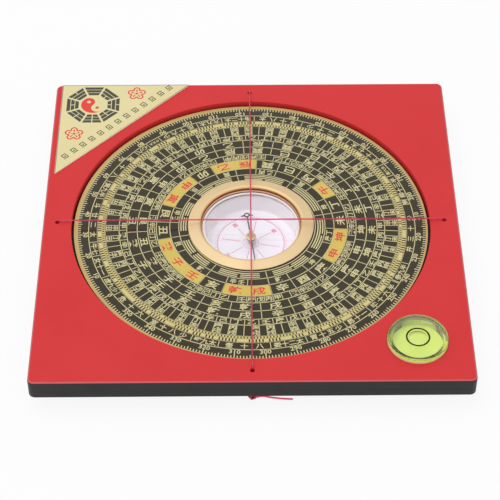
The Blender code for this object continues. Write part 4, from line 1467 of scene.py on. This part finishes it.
# A cup, the lens in its seat, the liquid between them with a bubble's hollow, and the paint below
def makeLevel(level):
    radius = radiusOf("level_body")
    low, high = spanOf("level_body")
    room = radius - level["wall"]
    seat = level["lensSeat"]
    lensLow = bottomOf("level_lens")
    overlap = level["overlap"]
    ledge = lensLow + overlap
    floor = low + level["floorThickness"]
    acrylic = clearFinish("clear moulded acrylic", level["acrylic"], level["acrylicIndex"])
    profile = [
        (0, low), (radius, low), (radius, high), (seat, high), (seat, ledge), (room, ledge), (room, floor),
        (0, floor),
    ]
    outer, nearLens = level["outerRound"], level["seatRound"]
    rounding = np.array([0, outer, outer, nearLens, nearLens, nearLens, level["floorRound"], 0])[:, None]
    levelPiece("levelCup", profile, rounding, acrylic, 128, "clear_acrylic", "level_body")

    lensHigh = high - level["circleHeight"]
    profile = boxSection(0, seat + overlap, lensLow, lensHigh)
    levelPiece("levelLens", profile, nearLens, acrylic, 128, "clear_acrylic", "level_lens")

    liquid = clearFinish("yellow-green liquid", level["liquid"], level["liquidIndex"])
    profile = np.vstack([
        [(0, floor - overlap), (room + overlap, floor - overlap), (room + overlap, ledge)],
        bubbleProfile(level, ledge),
    ])
    body = turned("levelLiquid", profile, liquid, middleOf("level_body"), 128)
    settle(body, "board", "level_liquid", "level_liquid")

    # the faint emission on this paint is painted light that brightens it
    paint = patchyFinish("yellow-green paint with a painted glow", level["paint"], {
        "Emission Color": linear(level["glow"]), "Emission Strength": level["paintedGlowStrength"]})
    # the cup's thin floor is sunk into the paint, so no air lies between them
    profile = boxSection(0, radius, bottomOf("level_backing"), floor + overlap)
    levelPiece("levelBacking", profile, level["paintRound"], paint, 96, "level_backing", "level_backing")

    black = patchyFinish("black circle ink", level["circle"], {"Specular IOR Level": 0.15})
    inkLow = lensHigh - level["circleSink"]
    levelHoop("levelCircle", level["circleRadius"], level["circleWidth"], inkLow, high, black)
    glueLevel(level, radius - overlap)


makeLevel(level)
print("level made")


# Corner label: varnished cream card with generic ornaments

label = {
    "cornerRound": 0.5 * mm,
    "lip": 0.06 * mm,
    "border": 0.3 * mm,
    "borderStop": 1.0 * mm,   # how far from the sharp corners the border line ends
    "cutBelow": 0.5,   # how far up a face may look and still be a cut edge
    "inkSink": 0.005 * mm,
    "inkHeight": 0.015 * mm,
    "overInkHeight": 0.01 * mm,
    "octagonCentre": (-57.5 * mm, 59.9 * mm),
    "octagonOuter": 9.65 * mm,
    "octagonInner": 5.3 * mm,
    "barGap": 0.27 * mm,
    "sideGap": 0.85 * mm,
    "breakGap": 0.38 * mm,
    "discRadius": 4.4 * mm,
    "discDots": (0.65 * mm, 0.72 * mm),
    "fretStart": (-66.2 * mm, 32.4 * mm),
    "fretEnd": (-30.0 * mm, 68.9 * mm),
    "fretCount": 13,
    "fretSize": 2.05 * mm,
    "fretLine": 0.36 * mm,
    "blossoms": ((-41.7 * mm, 66.0 * mm), (-63.6 * mm, 44.3 * mm)),
    "petalRound": 1.05 * mm,
    "petalReach": 2.15 * mm,
    "petalLine": 0.5 * mm,
    "petalTurn": 125,   # degrees to either side of its tip
    "stamen": (0.75 * mm, 1.85 * mm),
    "stamenLine": 0.32 * mm,
    "stamenTip": 0.3 * mm,
    "heart": 0.5 * mm,
    # varnished cream card with a slight gold cast
    "paper": {"dark": "E0D49A", "light": "EADFAA", "patch": 14 * mm, "grain": 0.25 * mm, "depth": 0.004 * mm,
              "gloss": (0.4, 0.5)},
    "black": {**softInk, "dark": "34362A", "light": "40422F"},
    # thinner brown-black ink of the frets
    "brown": {**softInk, "dark": "5A5236", "light": "686040"},
    # cut card edge: pale and matt
    "cut": {"dark": "EAD8CE", "light": "F4E6DC", "patch": 3 * mm, "grain": 0.1 * mm, "depth": 0.004 * mm,
            "gloss": (0.6, 0.7)},
    # grey line along the card's two short sides: painted shadow at the plate's edge
    "grey": {**softInk, "dark": "8E8088", "light": "9C8E94", "gloss": (0.5, 0.6)},
    "red": {**softInk, "dark": "DE3226", "light": "EA4030"},
}


# One side of the octagon is three mitred bars; a bar at distance a from the middle is a · tan 22.5° wide
# each way. The first trigram is at the bottom, the next ones follow clockwise, and each bottom line is
# the innermost.
def labelBars(label, low, high):
    parts = []
    slope = math.tan(math.radians(trigramStep / 2))
    inner = label["octagonInner"]
    depth = (label["octagonOuter"] - inner + label["barGap"]) / 3
    edge = label["breakGap"] / 2
    for k, linesOf in enumerate(trigrams):
        outwards = direction(math.radians(-90 - trigramStep * k))
        across = leftOf(outwards)
        for row, whole in enumerate(linesOf):
            near = inner + row * depth
            far = near + depth - label["barGap"]
            nearHalf = near * slope - label["sideGap"] / 2
            farHalf = far * slope - label["sideGap"] / 2
            spans = [(-nearHalf, nearHalf, -farHalf, farHalf)]
            if not whole:
                spans = [(-nearHalf, -edge, -farHalf, -edge), (edge, nearHalf, edge, farHalf)]
            for nearStart, nearEnd, farStart, farEnd in spans:
                corners = [
                    outwards * near + across * nearStart,
                    outwards * far + across * farStart,
                    outwards * far + across * farEnd,
                    outwards * near + across * nearEnd,
                ]
                parts.append(slabs([np.array(corners) + label["octagonCentre"]], low, high))
    return parts


# A round slab: its outline is a full arc about the centre
def dot(centre, radius, low, high, steps=24):
    return slabs([arc(centre, radius, 0, 360, steps)[:-1]], low, high)


# The comma of the two-part disc, half of the rim and then a half turn round each of the two heads,
# and its dots
def labelDisc(label, low, high, overLow, overHigh):
    centre = np.array(label["octagonCentre"])
    radius = label["discRadius"]
    head = np.array([-1, 1]) / math.sqrt(2) * radius / 2
    rim = arc(centre, radius, 135, 315, 32)
    tail = arc(centre - head, radius / 2, -45, -225, 20)
    bulge = arc(centre + head, radius / 2, -45, 135, 20)
    comma = slabs([np.vstack([rim, tail[1:], bulge[1:-1]])], low, high)
    redDot, creamDot = label["discDots"]
    reds = [comma, dot(centre - head, redDot, low, high)]
    return reds, dot(centre + head, creamDot, overLow, overHigh)


# The plate itself: a right-angled triangle whose corners are (left, back), (left, front) and (right, back)
def labelPlate(label, paper):
    low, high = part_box("corner_label")
    border = label["border"]
    corners = np.array([(low.x, high.y), (low.x, low.y), (high.x, high.y)])
    # the corners are rounded in a frame where no point lies on the axis
    line = roundCorners(corners - low.x + border, label["cornerRound"]) + low.x - border
    along = np.roll(line, -1, axis=0) - np.roll(line, 1, axis=0)
    outward = -leftOf(along) / np.linalg.norm(along, axis=1, keepdims=True)
    plate = makePlate("labelPlate", [{"line": (line, outward), "lip": label["lip"]}], low.z, high.z, paper)
    plate.data.materials.append(patchyFinish("cut card edge", label["cut"]))
    pickMaterials(plate, lambda normals, centres: normals[:, 2] < label["cutBelow"])
    settle(plate, "board", "label_paper", "corner_label")
    inset = border / 2 + label["lip"]
    stop = label["borderStop"]
    return [(high.x - stop, high.y - inset), (low.x + inset, high.y - inset), (low.x + inset, low.y + stop)]


# A row of square spirals along the long edge
def labelFrets(label, low, high):
    along = direction(math.radians(45))
    spin = np.stack([along, leftOf(along)])
    unit = label["fretSize"] / 2
    spiral = [(-1, -1), (1, -1), (1, 1), (-0.62, 1), (-0.62, -0.3), (0.3, -0.3), (0.3, 0.35)]
    turnedSpiral = np.array(spiral) * unit @ spin
    start = np.array(label["fretStart"])
    end = np.array(label["fretEnd"])
    return [
        band(turnedSpiral + start * (1 - share) + end * share, label["fretLine"], low, high)
        for share in np.linspace(0, 1, label["fretCount"])
    ]


# A plum blossom: five petals, a ring of stamens with their tips and a heart
def labelBlossom(label, place, low, high):
    parts = []
    turn = label["petalTurn"]
    for petal in range(5):
        angle = 90 + 72 * petal
        outwards = direction(math.radians(angle))
        spot = place + label["petalReach"] * outwards
        petalLine = arc(spot, label["petalRound"], angle - turn, angle + turn, 18)
        stamen = [place + reach * outwards for reach in label["stamen"]]
        parts += [
            band(petalLine, label["petalLine"], low, high),
            band(stamen, label["stamenLine"], low, high),
            dot(stamen[1], label["stamenTip"], low, high, 12),
        ]
    return parts + [dot(place, label["heart"], low, high, 16)]


# The plate and its print of slabs, joined by colour
def makeLabel(label):
    paper = patchyFinish("varnished cream paper", label["paper"])
    black = patchyFinish("black label ink", label["black"])
    red = patchyFinish("red label ink", label["red"])
    brown = patchyFinish("brown label ink", label["brown"])
    grey = patchyFinish("grey painted edge shadow", label["grey"])
    border = labelPlate(label, paper)
    top = topOf("corner_label")
    ink = (top - label["inkSink"], top + label["inkHeight"])
    overInk = (ink[1] - label["inkSink"], ink[1] + label["overInkHeight"])
    reds, creamDot = labelDisc(label, *ink, *overInk)
    for place in label["blossoms"]:
        reds += labelBlossom(label, place, *ink)
    for name, parts, material in (
            ("labelBars", labelBars(label, *ink), black),
            # the grey border line is painted shadow along the two short edges
            ("labelBorder", [band(border, label["border"], *ink)], grey),
            ("labelFrets", labelFrets(label, *ink), brown),
            ("labelRedMarks", reds, red),
            ("labelDot", [creamDot], paper)):
        settle(joinParts(name, parts, material), "board", "label_paper")


makeLabel(label)
print("label printed")


# Strings, their knots and the loose end under the front edge

cord = {
    "radius": 0.25 * mm,
    "bend": 1.2 * mm,
    "wallGap": 0.05 * mm,
    "hang": 0.4 * mm,   # how far a string reaches below the base, into its knot
    "knotTube": 0.36 * mm,
    "endRadius": 0.3 * mm,
    "endKnot": (2.6 * mm, 1.2 * mm),
    "endKnotLift": 0.95 * mm,
    "endKnotDepth": 0.4,   # it is pulled flat: its depth against its width
    # red nylon line: smooth, glossy and see-through, so it glows pink over white
    "line": {"dark": "F23E74", "light": "FC5A8C", "patch": 3 * mm, "mottle": (2.0, 0.5), "grain": 0.2 * mm,
             "depth": 0.01 * mm, "relief": 0.3},
    "clear": 0.8,
}


# Up through one hole, round a small bend, straight over the dial and down the far hole
def stringRoute(height, bend, reach, low):
    corner = arc((reach - bend, height - bend), bend, 0, 90, 12)
    half = np.vstack([[(reach, low), (reach, (low + height) / 2)], corner])
    return np.vstack([half, half[::-1] * (-1, 1)])


# An overhand knot pulled tight: the trefoil (sin t + 2 sin 2t, cos t - 2 cos 2t, -sin 3t), scaled to size
def knotPath(centre, width, height, steps=72):
    t = np.linspace(0, 2 * np.pi, steps, endpoint=False)
    flat = np.stack([np.sin(t) + 2 * np.sin(2 * t), np.cos(t) - 2 * np.cos(2 * t)], axis=1) / 6 * width
    rise = -np.sin(3 * t)[:, None] * height / 2
    return np.hstack([flat, rise]) + np.asarray(centre)


# A smooth line through points: each stretch is a cubic whose slope at either end is half the step between
# the neighbours of that end
def smoothLine(points, steps):
    points = np.asarray(points, float)
    ends = np.vstack([2 * points[:1] - points[1:2], points, 2 * points[-1:] - points[-2:-1]])
    a, b, c, d = (ends[i:len(ends) - 3 + i][:, None] for i in range(4))
    t = np.linspace(0, 1, steps, endpoint=False)[None, :, None]
    square = (2 * a - 5 * b + 4 * c - d) * t ** 2
    cube = (3 * b - a - 3 * c + d) * t ** 3
    curve = 0.5 * (2 * b + (c - a) * t + square + cube)
    return np.vstack([curve.reshape(-1, points.shape[1]), points[-1:]])


# Each string is a tube along its route, each knot a closed tube, and the loose end a tube on a smooth line
def makeStrings(cord):
    nylon = patchyFinish("red nylon line", cord["line"], {
        "Roughness": 0.3, "IOR": 1.53, "Transmission Weight": cord["clear"]})
    radius = cord["radius"]
    knotTube = cord["knotTube"]
    hole = board["stringHoleOffset"]
    reach = hole - board["stringHoleRadius"] + radius + cord["wallGap"]
    low = bottomOf("base_board") - cord["hang"]
    for node, name, along in (("string_across", "stringAcross", 0), ("string_along", "stringAlong", 1)):
        route = stringRoute(topOf(node) - radius, cord["bend"], reach, low)
        path = np.insert(route, 1 - along, 0.0, axis=1)
        guide = (along, 1 - along, 0)
        settle(tube(name, path, radius, guide, nylon), "board", "red_string", node)

    # a closed tube along a knot's path
    def addKnot(name, path, *replaced):
        piece = tube(name, path, knotTube, (0, 0, 1), nylon, closed=True)
        settle(piece, "board", "red_string", *replaced)

    for side in ("left", "right", "back", "front"):
        node = "knot_" + side
        bottom, top = spanOf(node)
        middle = (*middleOf(node), (top + bottom) / 2)
        path = knotPath(middle, radiusOf(node) * 2 - knotTube * 2, top - bottom - knotTube * 2)
        addKnot("stopKnot" + side.capitalize(), path, node)

    # The loose end: down from its hole, through its knot and along the ground
    radius = cord["endRadius"]
    ground = radius + 0.05 * mm
    width, height = cord["endKnot"]
    knotHeight = height / 2 + cord["endKnotLift"]
    start = bottomOf("knot_front")
    route = [
        (0, -hole, start - 0.1 * mm),
        (-0.3 * mm, -hole - 0.3 * mm, start - 0.6 * mm),
        (-1.3 * mm, -hole - 1.5 * mm, knotHeight + 0.2 * mm),
        (0, -hole - 2.2 * mm, knotHeight),
        (1.3 * mm, -hole - 1.7 * mm, knotHeight - 0.3 * mm),
        (3.4 * mm, -hole - 0.8 * mm, ground + 0.2 * mm),
        (6.0 * mm, -hole - 1.2 * mm, ground),
        (9.4 * mm, -hole - 1.7 * mm, ground),
        (12.8 * mm, -hole - 1.95 * mm, ground),
    ]
    end = tube("spareEnd", smoothLine(route, 8), radius, (0.1, 1, 0.2), nylon)
    settle(end, "board", "red_string", "spare_end")
    knot = knotPath((0, 0, 0), width - 2 * knotTube, height - 2 * knotTube)
    addKnot("endKnot", knot * (1, cord["endKnotDepth"], 1) + route[3])


makeStrings(cord)
print("strings tied")
